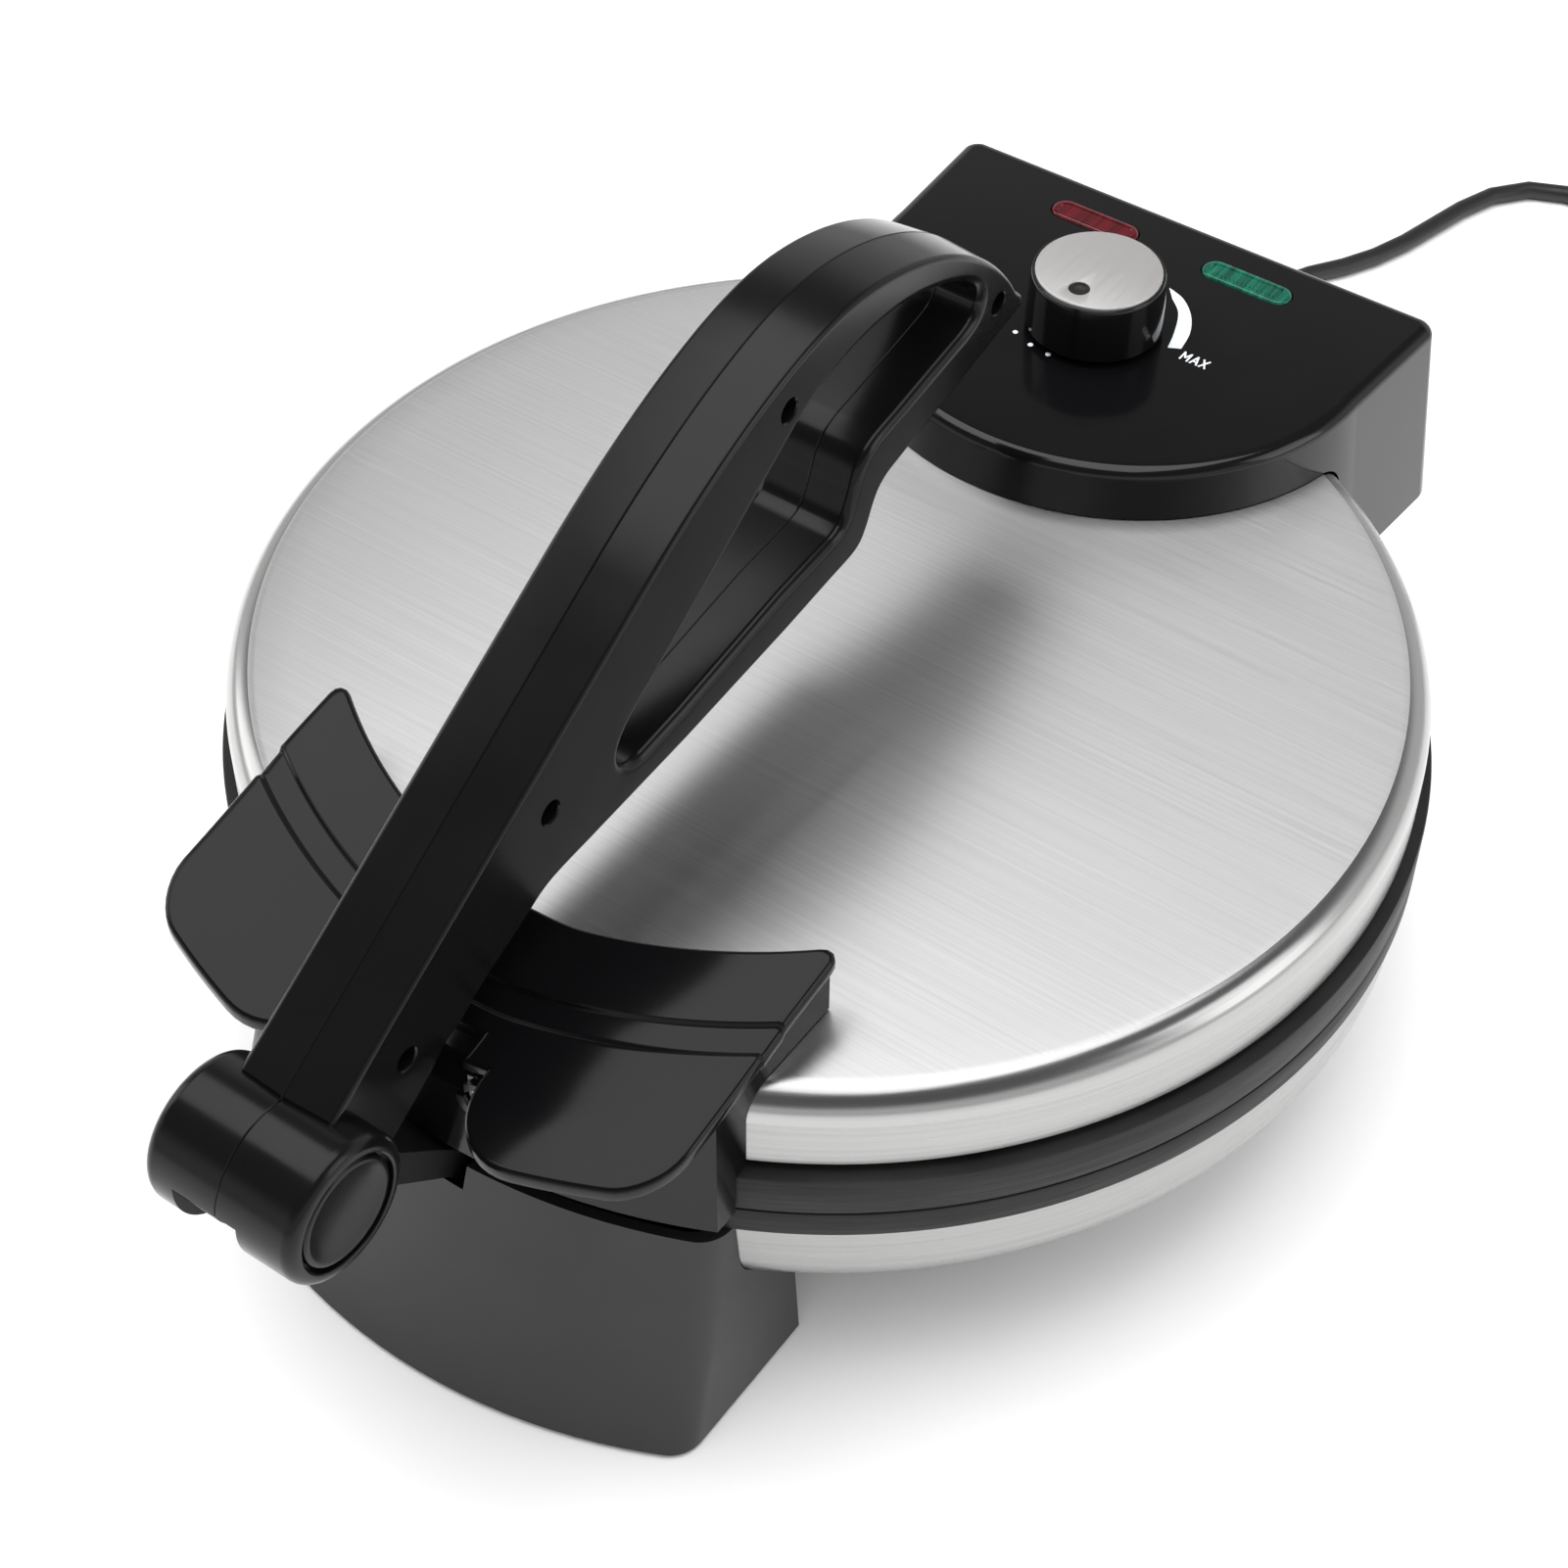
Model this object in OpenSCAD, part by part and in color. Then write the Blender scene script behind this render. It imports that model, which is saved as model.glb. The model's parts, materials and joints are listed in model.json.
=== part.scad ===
// Electric roti maker: two hinged hot plates under a steel lid, a press lever and a cord.
// Millimetres, +Z up, the worktop at z = 0, the lever's hinge at the front (-Y).

/* [Plates and steel shells] */
// Outer diameter of the steel lid
lid_d = 300; // [280:1:320]
// How far both plate rims stand out past the lid
rim_overhang = 3; // [1.5:0.5:5]
// How far the lower pan stands out past the lid
pan_overhang = 1.4; // [0.5:0.1:2]
// Thickness of the steel lid and pan
sheet_t = 1; // [0.8:0.1:1.5]
// Height of the seam between the two plates above the worktop
seam_h = 71; // [68:0.5:74]
// Height of the lower plate's rim
lower_rim_h = 8; // [6:0.5:9]
// Height of the upper plate's rim
upper_rim_h = 11.7; // [10:0.1:14]
// Gap left between the two closed plates
seam_gap = 0.3; // [0.3:0.1:0.8]
// Thickness of each plate's cooking disc
plate_t = 4; // [3:0.5:5]
// Depth of each cooking face below its rim
face_depth = 0.6; // [0.3:0.1:1]
// Gap between the upper rim and the lid's lower edge
lid_gap = 2.7; // [2.7:0.1:4]
// Height of the lid from its lower edge to its shoulder's top
lid_side_h = 21.5; // [20:0.5:24]
// Radius of the lid's shoulder
lid_shoulder_r = 8; // [5:0.5:10]
// Rise of the lid's top from shoulder to centre
lid_dome = 0.8; // [0.4:0.1:1.5]
// Depth of the lower pan
pan_depth = 25; // [22:0.5:27]
// Radius of the pan's lower edge
pan_edge_r = 12; // [8:0.5:14]
// Radius of the heating elements' rings
element_r = 95; // [85:1:105]
// Diameter of the heating elements' rods
element_d = 6.5; // [5:0.5:8]

/* [Base] */
// Gap under the plastic base, taken up by the rubber feet
foot_gap = 1.5; // [1:0.5:3]
// Diameter of the rubber feet
foot_d = 16; // [12:1:20]
// Half width of the front base at the worktop
base_half_w = 73; // [68:1:78]
// Half width of the front base at its top edge
base_top_half_w = 69; // [64:1:73]
// Wall of the plastic base
base_wall = 2.8; // [2:0.2:3.5]
// How far the front base's top edge stands out past the plates' rims
base_top_gap = 4.8; // [3.8:0.2:7]
// How far the front base's foot spreads ahead of its top edge
base_spread = 20.9; // [16:0.1:26]
// Depth of the front base from its foot back
base_depth = 64; // [58:1:72]
// Half width of the rear base
rear_half_w = 55; // [48:1:60]
// How far the rear base stands out behind the lid
rear_behind = 15; // [13:0.5:18]
// How far the rear base's top stands above the pan's floor
rear_rise = 2; // [1:0.5:4]

/* [Lid hinge] */
// Distance of the hinge pin behind the lid's edge
hinge_behind = 13; // [11:0.5:15]
// How far the hinge pin lies below the seam between the plates
hinge_drop = 9; // [7:0.5:11]
// Radius of the hinge pin
hinge_pin_r = 3; // [2.5:0.25:3.5]
// Radial clearance of every hinge pin
pin_gap = 0.05; // [0.03:0.01:0.08]
// Thickness of the steel hinge brackets
bracket_t = 2.4; // [2:0.1:2.6]

/* [Control housing] */
// Half width of the housing at its top
housing_half_w = 72.5; // [69:0.5:76]
// How far inside the lid's edge the centre of the housing's round front lies
housing_arc_in = 10.5; // [8:0.5:14]
// How far the housing's top reaches behind the lid's edge
housing_behind = 31; // [29:0.5:33]
// How far the housing's rear corners stand out past its half width
housing_flare = 2.3; // [0:0.1:3]
// How far the housing's top face stands above the lid's shoulder
housing_rise = 15.6; // [12.8:0.2:18.8]
// How far the housing's lower edge stands above the lower pan's edge
housing_low_gap = 4; // [0.5:0.5:5]
// How far the walls spread from the top to the lower edge
housing_draft = 6.2; // [4:0.2:7]
// Wall of the housing
housing_wall = 2.6; // [2:0.2:3.4]
// Radius of the knob
knob_r = 18.8; // [16:0.2:21]
// Height of the knob without its disc
knob_h = 14.8; // [12:0.2:18]
// Gap between the knob and the housing
knob_gap = 2; // [1:0.2:3]
// How far inside the lid's edge the knob's axis lies
knob_in = 25.3; // [23:0.1:28]
// Length of the indicator lenses
lens_l = 27; // [22:0.5:30]
// Width of the indicator lenses
lens_w = 8.2; // [6:0.2:10]
// Distance of each lens from the middle
lens_x = 24.2; // [20:0.2:28]
// Distance of the lenses behind the lid's edge
lens_behind = 15.4; // [13:0.2:17]

/* [Lid grip] */
// Half width of the winged lid grip
grip_half_w = 72; // [68:1:76]
// Half width of the channel that the lever lies in
channel_half_w = 20; // [18:0.5:24]
// How far the grip's front wall stands out past the plates' rims
grip_wall_gap = 7; // [6:0.5:10]
// How far the wings reach ahead of the front wall
wing_ahead = 21; // [17:1:25]
// How far the wings reach back from the front wall over the lid
wing_back = 38; // [32:1:42]
// Thickness of the wings
wing_t = 4; // [3:0.5:5]
// Angle by which the wings rise outwards
wing_tilt = 9.5; // [6:0.5:12]

/* [Press lever] */
// Distance of the lever's pin ahead of the grip's front wall
barrel_ahead = 44.8; // [43:0.2:47]
// Height of the lever's pin above the seam between the plates
barrel_rise = 36.8; // [35:0.2:39]
// Radius of the lever's barrel
barrel_r = 18; // [17:0.5:20]
// Half length of the lever's barrel
barrel_half_l = 21; // [19:0.5:24]
// Distance from the lever's pin to the end of its grip
lever_l = 266.8; // [260:0.2:274]
// Half width of the lever's arm
lever_half_w = 13; // [12:0.5:14]
// Radius of the lever's pin
lever_pin_r = 4; // [3:0.5:5]

/* [Cord] */
// Diameter of the mains cord
cord_d = 6; // [5:0.5:6.5]
// Full turns in the stored coil
coil_loops = 4; // [2:2:4]

/* [Hidden] */
$fn = 96;

lid_r = lid_d / 2;
rim_r = lid_r + rim_overhang;
pan_r = lid_r + pan_overhang;
pan_top = seam_h - lower_rim_h;
pan_floor = pan_top - pan_depth;
lower_face = seam_h - face_depth;
upper_seam = seam_h + seam_gap;
upper_face = upper_seam + face_depth;
rim_top = upper_seam + upper_rim_h;
lid_edge = rim_top + lid_gap;
lid_top = lid_edge + lid_side_h;
rim_inner_r = rim_r - 14;
base_top_r = rim_r + base_top_gap;
base_reach = base_top_r + base_spread;
rear_y = lid_r + rear_behind;
hinge_y = lid_r + hinge_behind;
housing_arc_y = lid_r - housing_arc_in;
housing_rear = lid_r + housing_behind;
knob_y = lid_r - knob_in;
lens_y = lid_r + lens_behind;
grip_wall_r = rim_r + grip_wall_gap;
wing_front_r = grip_wall_r + wing_ahead;
wing_rear_r = grip_wall_r - wing_back;
barrel_y = grip_wall_r + barrel_ahead;
rear_top = pan_floor + rear_rise;
hinge_z = seam_h - hinge_drop;
housing_top = lid_top + housing_rise;
housing_low = pan_top + housing_low_gap;
barrel_z = seam_h + barrel_rise;
slack = 0.3;
slice = 0.01;
// Longer than the whole part, for cuts that pass right through
long = 400;

// The origin lies under the middle of the part, so the lid's axis sits a little behind it
rear_reach = housing_rear + housing_draft;
front_reach = barrel_y + barrel_r;
plate_y = (front_reach - rear_reach) / 2;

// Bosses, posts and screws
boss_r = 8;
boss_ring_r = 60;
boss_angles = [30, 150, 270];
post_r = 5;
screw_r = 2;
screw_hole_r = 2.2;
head_r = 4;
head_h = 2.6;
shield_t = 0.8;
lower_shield_z = pan_floor + 15.2;
upper_shield_z = rim_top + 9;
front_post = [45, 25 - lid_r];
rear_post = [38, lid_r - 32];
front_foot = [54, 4 - lid_r];
rear_foot = [42, lid_r - 4];

function arc_points(cx, cy, r, from, to, steps) =
    [for (i = [0 : steps]) let (a = from + (to - from) * i / steps) [cx + r * cos(a), cy + r * sin(a)]];
function bezier(a, b, c, d, steps) =
    [for (i = [1 : steps]) let (t = i / steps, s = 1 - t)
        s * s * s * a + 3 * s * s * t * b + 3 * s * t * t * c + t * t * t * d];
function mix(a, b, t) = a + (b - a) * t;
// Top of the lid at a distance from its axis
shoulder_in_r = lid_r - lid_shoulder_r;
function lid_top_at(r) = lid_top + lid_dome * (1 - pow(r / shoulder_in_r, 2));
// Section of the lid's outside, grown by a clearance
function lid_outline(g) = concat(
    [[0, lid_edge - g], [lid_r + g, lid_edge - g]],
    arc_points(shoulder_in_r, lid_top - lid_shoulder_r, lid_shoulder_r + g, 0, 90, 8),
    [for (i = [5 : -1 : 0]) let (r = shoulder_in_r * i / 6) [r, lid_top_at(r) + g]]);
// Section of the pan's outside, grown by a clearance
function pan_outline(g) = concat(
    [[0, pan_floor - g]],
    arc_points(pan_r - pan_edge_r, pan_floor + pan_edge_r, pan_edge_r + g, -90, 0, 8),
    [[pan_r + g, pan_top], [0, pan_top]]);

module placed() {
    translate([0, plate_y, 0]) children();
}
module pair() {
    children();
    mirror([1, 0, 0]) children();
}
module along_x(x0, x1) {
    translate([x0, 0, 0]) rotate([90, 0, 90]) linear_extrude(x1 - x0) children();
}
module x_rod(x0, x1, y, z, r) {
    translate([x0, y, z]) rotate([0, 90, 0]) cylinder(h = x1 - x0, r = r);
}
module at(p, z) {
    translate([p[0], p[1], z]) children();
}
module at_bosses(z) {
    for (a = boss_angles) rotate([0, 0, a]) translate([boss_ring_r, 0, z]) children();
}
// A screw whose head stands up from the origin and whose shank goes down
module screw(length) {
    cylinder(h = head_h, r = head_r);
    translate([0, 0, -length]) cylinder(h = length + 0.5, r = screw_r);
}
// Places the origin on a circle about the lid's axis, with +Z pointing at the axis
module facing_in(angle, r, z) {
    rotate([0, 0, angle]) translate([0, -r, z]) rotate([-90, 0, 0]) children();
}

// Lower half: pan, plate, element and heat shield

// The element's leads pass down into the rear base through this hole
lead_hole_r = 9;
lead_hole_y = rear_post[1] - 8;

module lower_pan() {
    color("silver") difference() {
        rotate_extrude($fn = 180) polygon(pan_outline(0));
        rotate_extrude($fn = 180) polygon(concat(
            [[0, pan_floor + sheet_t]],
            arc_points(pan_r - pan_edge_r, pan_floor + pan_edge_r, pan_edge_r - sheet_t, -90, 0, 8),
            [[pan_r - sheet_t, pan_top + 1], [0, pan_top + 1]]));
        at_bosses(pan_floor - 1) cylinder(h = 4, r = screw_hole_r);
        pair() for (p = [front_post, rear_post]) at(p, pan_floor - 1) cylinder(h = 4, r = screw_hole_r);
        translate([0, lead_hole_y, pan_floor - 1]) cylinder(h = 4, r = lead_hole_r);
    }
}

module lower_plate() {
    shield_top = lower_shield_z + shield_t;
    color("#2b2b2d") difference() {
        union() {
            rotate_extrude($fn = 180) polygon([[0, lower_face - plate_t],
                [rim_inner_r, lower_face - plate_t], [rim_inner_r, pan_top], [rim_r, pan_top],
                [rim_r, seam_h], [rim_inner_r + 7, seam_h], [rim_inner_r + 6, lower_face],
                [0, lower_face]]);
            at_bosses(shield_top) cylinder(h = lower_face - shield_top - 1, r = boss_r);
        }
        at_bosses(shield_top - 1) cylinder(h = 10, r = screw_r);
    }
}

// An element is an open ring whose two ends turn away from the plate
element_ends = [105, 435];
module element(z, side) {
    color("dimgray") {
        rotate([0, 0, element_ends[0]]) rotate_extrude(angle = element_ends[1] - element_ends[0])
            translate([element_r, z]) circle(d = element_d, $fn = 32);
        for (a = element_ends) rotate([0, 0, a]) translate([element_r, 0, z]) {
            sphere(d = element_d, $fn = 32);
            mirror([0, 0, side < 0 ? 1 : 0]) {
                cylinder(h = 9, d = element_d, $fn = 32);
                cylinder(h = 15, r = 1.6, $fn = 32);
            }
        }
    }
}
module lower_element() {
    element(lower_face - plate_t - element_d / 2 - 0.05, -1);
}

module shield(z) {
    color("gainsboro") difference() {
        translate([0, 0, z]) cylinder(h = shield_t, r = rim_inner_r - 4, $fn = 180);
        at_bosses(z - 1) cylinder(h = 3, r = screw_hole_r);
        for (a = element_ends) rotate([0, 0, a]) translate([element_r, 0, z - 1])
            cylinder(h = 3, r = element_d);
        translate([0, knob_y, z - 1]) cylinder(h = 3, r = 24);
    }
}
module lower_shield() {
    shield(lower_shield_z);
}

// Tubes between the pan's floor and the shield, which the plate's screws pass through
module lower_spacers() {
    color("silver") at_bosses(pan_floor + sheet_t) difference() {
        cylinder(h = lower_shield_z - pan_floor - sheet_t, r = boss_r - 2);
        translate([0, 0, -1]) cylinder(h = long, r = screw_hole_r);
    }
}

module pan_screws() {
    color("silver") at_bosses(pan_floor) mirror([0, 0, 1]) screw(24);
}

// Front base, which leans in towards the pan, with the lever's neck

foot_arc_r = rim_r;
base_rear = base_reach - base_depth;
base_corner = 9;
floor_top = foot_gap + 3;
// Level outline of the front base: a wide arc in front, rounded corners, straight sides
module base_level(z, half_w, reach, rear) {
    r = mix(base_top_r, foot_arc_r, (reach - base_top_r) / (base_reach - base_top_r));
    arc_y = r - reach;
    corner_x = half_w - base_corner;
    corner_y = arc_y - sqrt(pow(r - base_corner, 2) - corner_x * corner_x);
    tangent = asin(corner_x / (r - base_corner));
    translate([0, 0, z]) linear_extrude(slice) polygon(concat(
        arc_points(corner_x, corner_y, base_corner, 0, -90 + tangent, 8),
        arc_points(0, arc_y, r, -90 + tangent * 0.95, -90 - tangent * 0.95, 22),
        arc_points(-corner_x, corner_y, base_corner, -90 - tangent, -180, 8),
        [[-half_w, -rear], [half_w, -rear]]));
}
module base_form(inset, low, high) {
    hull() for (z = [low, high]) {
        lean = (z - foot_gap) / (pan_top - foot_gap);
        base_level(z, mix(base_half_w, base_top_half_w, lean) - inset,
            mix(base_reach, base_top_r, lean) - inset, base_rear + inset);
    }
}

neck_seat = foot_gap + 12.5;
neck_foot_t = 4;
neck_y = base_top_r - 0.8;
neck_depth = 35;
neck_bolt_y = [11 - neck_y, 27 - neck_y];
neck_bolt_r = 2.5;
notch_half_w = 9.4;
notch_floor = pan_top - 5.5;
// A point of the neck's side view, from its front face
function ahead(d, z) = [-neck_y - d, z];

module front_base() {
    color("#161618") difference() {
        union() {
            difference() {
                base_form(0, foot_gap, pan_top);
                base_form(base_wall, floor_top, pan_top + 1);
            }
            pair() at(front_post, foot_gap) cylinder(h = pan_floor - foot_gap, r = post_r);
            pair() at(front_foot, foot_gap) cylinder(h = 5, r = foot_d / 2 + 2);
            translate([-13, 1 - neck_y, foot_gap]) cube([26, neck_depth - 1, neck_seat - foot_gap]);
        }
        rotate_extrude($fn = 180) polygon(pan_outline(slack));
        pair() at(front_post, pan_floor - 14) cylinder(h = 20, r = screw_r);
        pair() at(front_foot, foot_gap - 1) cylinder(h = 2.8, r = foot_d / 2 + 0.2);
        for (y = neck_bolt_y) translate([0, y, foot_gap + 2]) cylinder(h = 20, r = neck_bolt_r);
        along_x(-notch_half_w, notch_half_w) polygon([ahead(-7, notch_floor - 4),
            ahead(0.5, notch_floor - 4), ahead(3.5, notch_floor), ahead(33, notch_floor),
            ahead(33, pan_top + 5), ahead(-7, pan_top + 5)]);
    }
}

// Knuckle of the neck: a ring on the lever's pin, with a wider collar on its left end
knuckle_r = 12;
collar_r = 15.6;
neck_left = -11.6;
collar_end = -3.4;
neck_right = 5.4;
stem_left = -8;
neck_low_a = -44;
neck_high_a = -22;
knuckle_gap = 0.4;
function from_barrel(r, a) = [r * cos(a) - barrel_y, r * sin(a) + barrel_z];

module neck_side() {
    foot_top = neck_seat + neck_foot_t;
    polygon([ahead(0, neck_seat), ahead(-neck_depth, neck_seat), ahead(-neck_depth, foot_top),
        ahead(-4.7, foot_top), ahead(-4.7, pan_top - 9), ahead(-3.4, pan_top - 3), ahead(-2, pan_top + 0.5),
        ahead(4.2, seam_h - 0.8), ahead(17, seam_h + 12), ahead(27, seam_h + 24.5),
        from_barrel(barrel_r, neck_high_a), from_barrel(knuckle_r - 1, neck_high_a),
        from_barrel(knuckle_r - 1, neck_low_a), from_barrel(barrel_r, neck_low_a),
        ahead(32, seam_h + 20), ahead(22, seam_h + 5), ahead(7, pan_top - 1), ahead(2.6, pan_top - 4.9),
        ahead(0, pan_top - 9)]);
}

module lever_neck() {
    color("#1d1d1f") difference() {
        union() {
            along_x(stem_left, neck_right) neck_side();
            x_rod(neck_left, neck_right, -barrel_y, barrel_z, knuckle_r);
            x_rod(neck_left, collar_end, -barrel_y, barrel_z, collar_r);
        }
        x_rod(-long, long, -barrel_y, barrel_z, lever_pin_r);
        for (y = neck_bolt_y) translate([0, y, neck_seat - 1]) cylinder(h = 10, r = neck_bolt_r + 0.2);
    }
}

module neck_bolts() {
    color("silver") for (y = neck_bolt_y) translate([0, y, neck_seat + neck_foot_t]) {
        cylinder(h = 3.5, r = 4.2);
        translate([0, 0, -14]) cylinder(h = 15, r = neck_bolt_r);
    }
}

pin_end = barrel_half_l - 4;
module lever_pin() {
    color("silver") x_rod(-pin_end, pin_end, -barrel_y, barrel_z, lever_pin_r);
}

module rubber_feet() {
    color("#2a2a2a") pair() for (p = [front_foot, rear_foot]) at(p, 0)
        cylinder(h = foot_gap + 1.8, d = foot_d);
}

// Rear base with its cover, its terminal block and the cord's strain relief

rear_depth = 69;
cover_t = 2.6;
gland_r = 5.5;
cord_exit = [-28, 16];
hinge_bolt = [24, rear_y - 6];

module rear_box(inset, low, high) {
    r = 8 - inset;
    w = rear_half_w - inset;
    front = rear_y - rear_depth + inset;
    back = rear_y - inset;
    translate([0, 0, low]) linear_extrude(high - low) polygon(concat([[-w, front], [w, front]],
        arc_points(w - r, back - r, r, 0, 90, 6), arc_points(r - w, back - r, r, 90, 180, 6)));
}

module rear_base() {
    color("#161618") difference() {
        union() {
            difference() {
                rear_box(0, foot_gap, rear_top);
                rear_box(base_wall, foot_gap - 1, rear_top - 3);
            }
            pair() at(rear_post, foot_gap + cover_t)
                cylinder(h = pan_floor - foot_gap - cover_t, r = post_r);
            pair() at(hinge_bolt, rear_top - 14) cylinder(h = 13, r = 4.5);
        }
        rotate_extrude($fn = 180) polygon(pan_outline(slack));
        pair() at(rear_post, foot_gap) cylinder(h = 60, r = screw_r);
        pair() at(hinge_bolt, rear_top - 12) cylinder(h = 20, r = screw_r);
        translate([cord_exit[0], rear_y - 10, cord_exit[1]]) rotate([-90, 0, 0])
            cylinder(h = 20, r = gland_r);
        translate([0, lead_hole_y, pan_floor - 5]) cylinder(h = 10, r = lead_hole_r);
    }
}

module rear_cover() {
    color("#1b1b1d") difference() {
        union() {
            rear_box(base_wall + 0.2, foot_gap, foot_gap + cover_t);
            pair() at(rear_foot, foot_gap) cylinder(h = 5, r = foot_d / 2 + 1.6);
        }
        pair() at(rear_foot, foot_gap - 1) cylinder(h = 2.8, r = foot_d / 2 + 0.2);
        pair() at(rear_post, foot_gap - 1) {
            cylinder(h = 6, r = screw_hole_r);
            cylinder(h = 2.2, r = head_r + 0.3);
        }
    }
}

// Screws down through the pan into the four posts, and up through the rear cover
module base_screws() {
    color("silver") pair() {
        for (p = [front_post, rear_post]) at(p, pan_floor + sheet_t) screw(12);
        at(rear_post, foot_gap) {
            cylinder(h = 1.2, r = head_r);
            cylinder(h = 13, r = screw_r);
        }
    }
}

module terminal_block() {
    z = foot_gap + cover_t;
    color("ivory") difference() {
        translate([-20, rear_y - 38, z]) cube([40, 16, 14]);
        for (i = [-1 : 1]) translate([i * 12, rear_y - 40, z + 7]) rotate([-90, 0, 0])
            cylinder(h = 20, r = 2.2);
    }
}

relief_end = rear_y + 33;
cord_r = cord_d / 2;
module strain_relief() {
    inner = rear_y - base_wall;
    color("#121212") translate([cord_exit[0], 0, cord_exit[1]]) rotate([-90, 0, 0]) {
        translate([0, 0, inner - 3]) cylinder(h = 3, r = gland_r + 2.5);
        translate([0, 0, inner]) cylinder(h = base_wall, r = gland_r - 0.05);
        translate([0, 0, rear_y]) cylinder(h = 2, r = gland_r + 2);
        translate([0, 0, rear_y + 2])
            cylinder(h = relief_end - rear_y - 2, r1 = gland_r, r2 = cord_r + 0.9);
    }
}

// Lid hinge

lug_x = 30;
lug_r = 8;
lug_gap = 0.6;
flange_y = pan_r + 1.6;
flange_l = rear_y - flange_y - 0.6;

module lower_hinge_bracket() {
    color("lightgray") difference() {
        union() {
            translate([-lug_x - 8, flange_y, rear_top]) cube([lug_x * 2 + 16, flange_l, bracket_t]);
            pair() along_x(lug_x, lug_x + bracket_t) hull() {
                translate([hinge_y, hinge_z]) circle(r = lug_r, $fn = 32);
                translate([flange_y, rear_top]) square([flange_l, 1]);
            }
        }
        x_rod(-long, long, hinge_y, hinge_z, hinge_pin_r);
        pair() at(hinge_bolt, rear_top - 1) cylinder(h = 6, r = screw_hole_r);
    }
}

module lower_bracket_bolts() {
    color("silver") pair() at(hinge_bolt, rear_top + bracket_t) screw(11);
}

plate_screw = [18, rim_inner_r + 4.6];
cover_screw = [18, hinge_y + 3];
module upper_hinge_bracket() {
    half_w = lug_x - lug_gap;
    back = hinge_y + lug_r;
    color("lightgray") difference() {
        union() {
            translate([-half_w, rim_inner_r + 1, rim_top])
                cube([half_w * 2, back - rim_inner_r - 1, bracket_t]);
            pair() along_x(half_w - bracket_t, half_w) hull() {
                translate([hinge_y, hinge_z]) circle(r = lug_r, $fn = 32);
                translate([rim_r + 2.4, rim_top]) square([back - rim_r - 2.4, 1]);
            }
        }
        x_rod(-long, long, hinge_y, hinge_z, hinge_pin_r + pin_gap);
        pair() at(plate_screw, rim_top - 1) cylinder(h = 6, r = screw_hole_r);
        pair() at(cover_screw, rim_top - 1) cylinder(h = 6, r = screw_r);
    }
}

module upper_bracket_screws() {
    color("silver") pair() at(plate_screw, rim_top + bracket_t) screw(8.5);
}

// The pin's two upset ends keep it in the lower bracket
module hinge_pin() {
    pin_l = lug_x + bracket_t + 2.6;
    color("silver") {
        x_rod(-pin_l, pin_l, hinge_y, hinge_z, hinge_pin_r);
        pair() x_rod(lug_x + bracket_t, pin_l, hinge_y, hinge_z, hinge_pin_r + 1.5);
    }
}

// Cord, along points chosen by hand from the strain relief to the coil and the plug

lie_z = cord_r + 0.05;
coil_x = 66;
coil_r = 38;
coil_pitch = cord_d + 0.6;
coil_top_z = lie_z + coil_pitch;
run_y = relief_end + 228;
coil_y = run_y + coil_r;
plug_x = 106;
plug_r = 18.5;
// Each point is given by x, by its distance behind the strain relief's end, and by z
cord_points = [[-28, 0, 16], [-28, 8, 15.7], [-29, 20, 13.4], [-31, 34, 9], [-33.5, 48, 5],
    [-35.5, 62, lie_z], [-37, 77, lie_z], [-37.6, 92, lie_z], [-36.8, 106, lie_z], [-33.8, 121, lie_z],
    [-28, 133, lie_z], [-20.8, 143.5, lie_z], [-14.8, 155, lie_z], [-10.2, 168, lie_z],
    [-6.8, 182, lie_z], [-3.2, 197, lie_z], [2, 211, lie_z], [11, 222, lie_z], [23, 227.4, lie_z],
    [37, 228, lie_z], [50, 228, lie_z], [coil_x - cord_d, 228, lie_z]];
cord_route = [for (p = cord_points) [p[0], relief_end + p[1], p[2]]];
tail_route = [[coil_x + cord_d, run_y, coil_top_z], [coil_x + 8, run_y, coil_top_z],
    [coil_x + 14, run_y, coil_top_z + 0.8], [coil_x + 22, run_y, coil_top_z + 3.8],
    [coil_x + 30, run_y, plug_r - 1.6], [plug_x - 5, run_y, plug_r], [plug_x, run_y, plug_r]];

function unit(v) = v / norm(v);
function heading(p, i) = unit(p[min(i + 1, len(p) - 1)] - p[max(i - 1, 0)]);
module tube(path, r, sides) {
    n = len(path);
    rings = [for (i = [0 : n - 1])
        let (t = heading(path, i), s = unit(cross(t, [0, 0, 1])), u = cross(s, t))
        for (k = [0 : sides - 1]) let (a = (k + 0.5) * 360 / sides)
            path[i] + r * (cos(a) * s + sin(a) * u)];
    skin = [for (i = [0 : n - 2]) for (k = [0 : sides - 1]) let (m = (k + 1) % sides)
        each [[i * sides + k, i * sides + m, (i + 1) * sides + m],
            [i * sides + k, (i + 1) * sides + m, (i + 1) * sides + k]]];
    caps = [[for (k = [sides - 1 : -1 : 0]) k], [for (k = [0 : sides - 1]) (n - 1) * sides + k]];
    polyhedron(points = rings, faces = concat(skin, caps));
}

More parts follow.
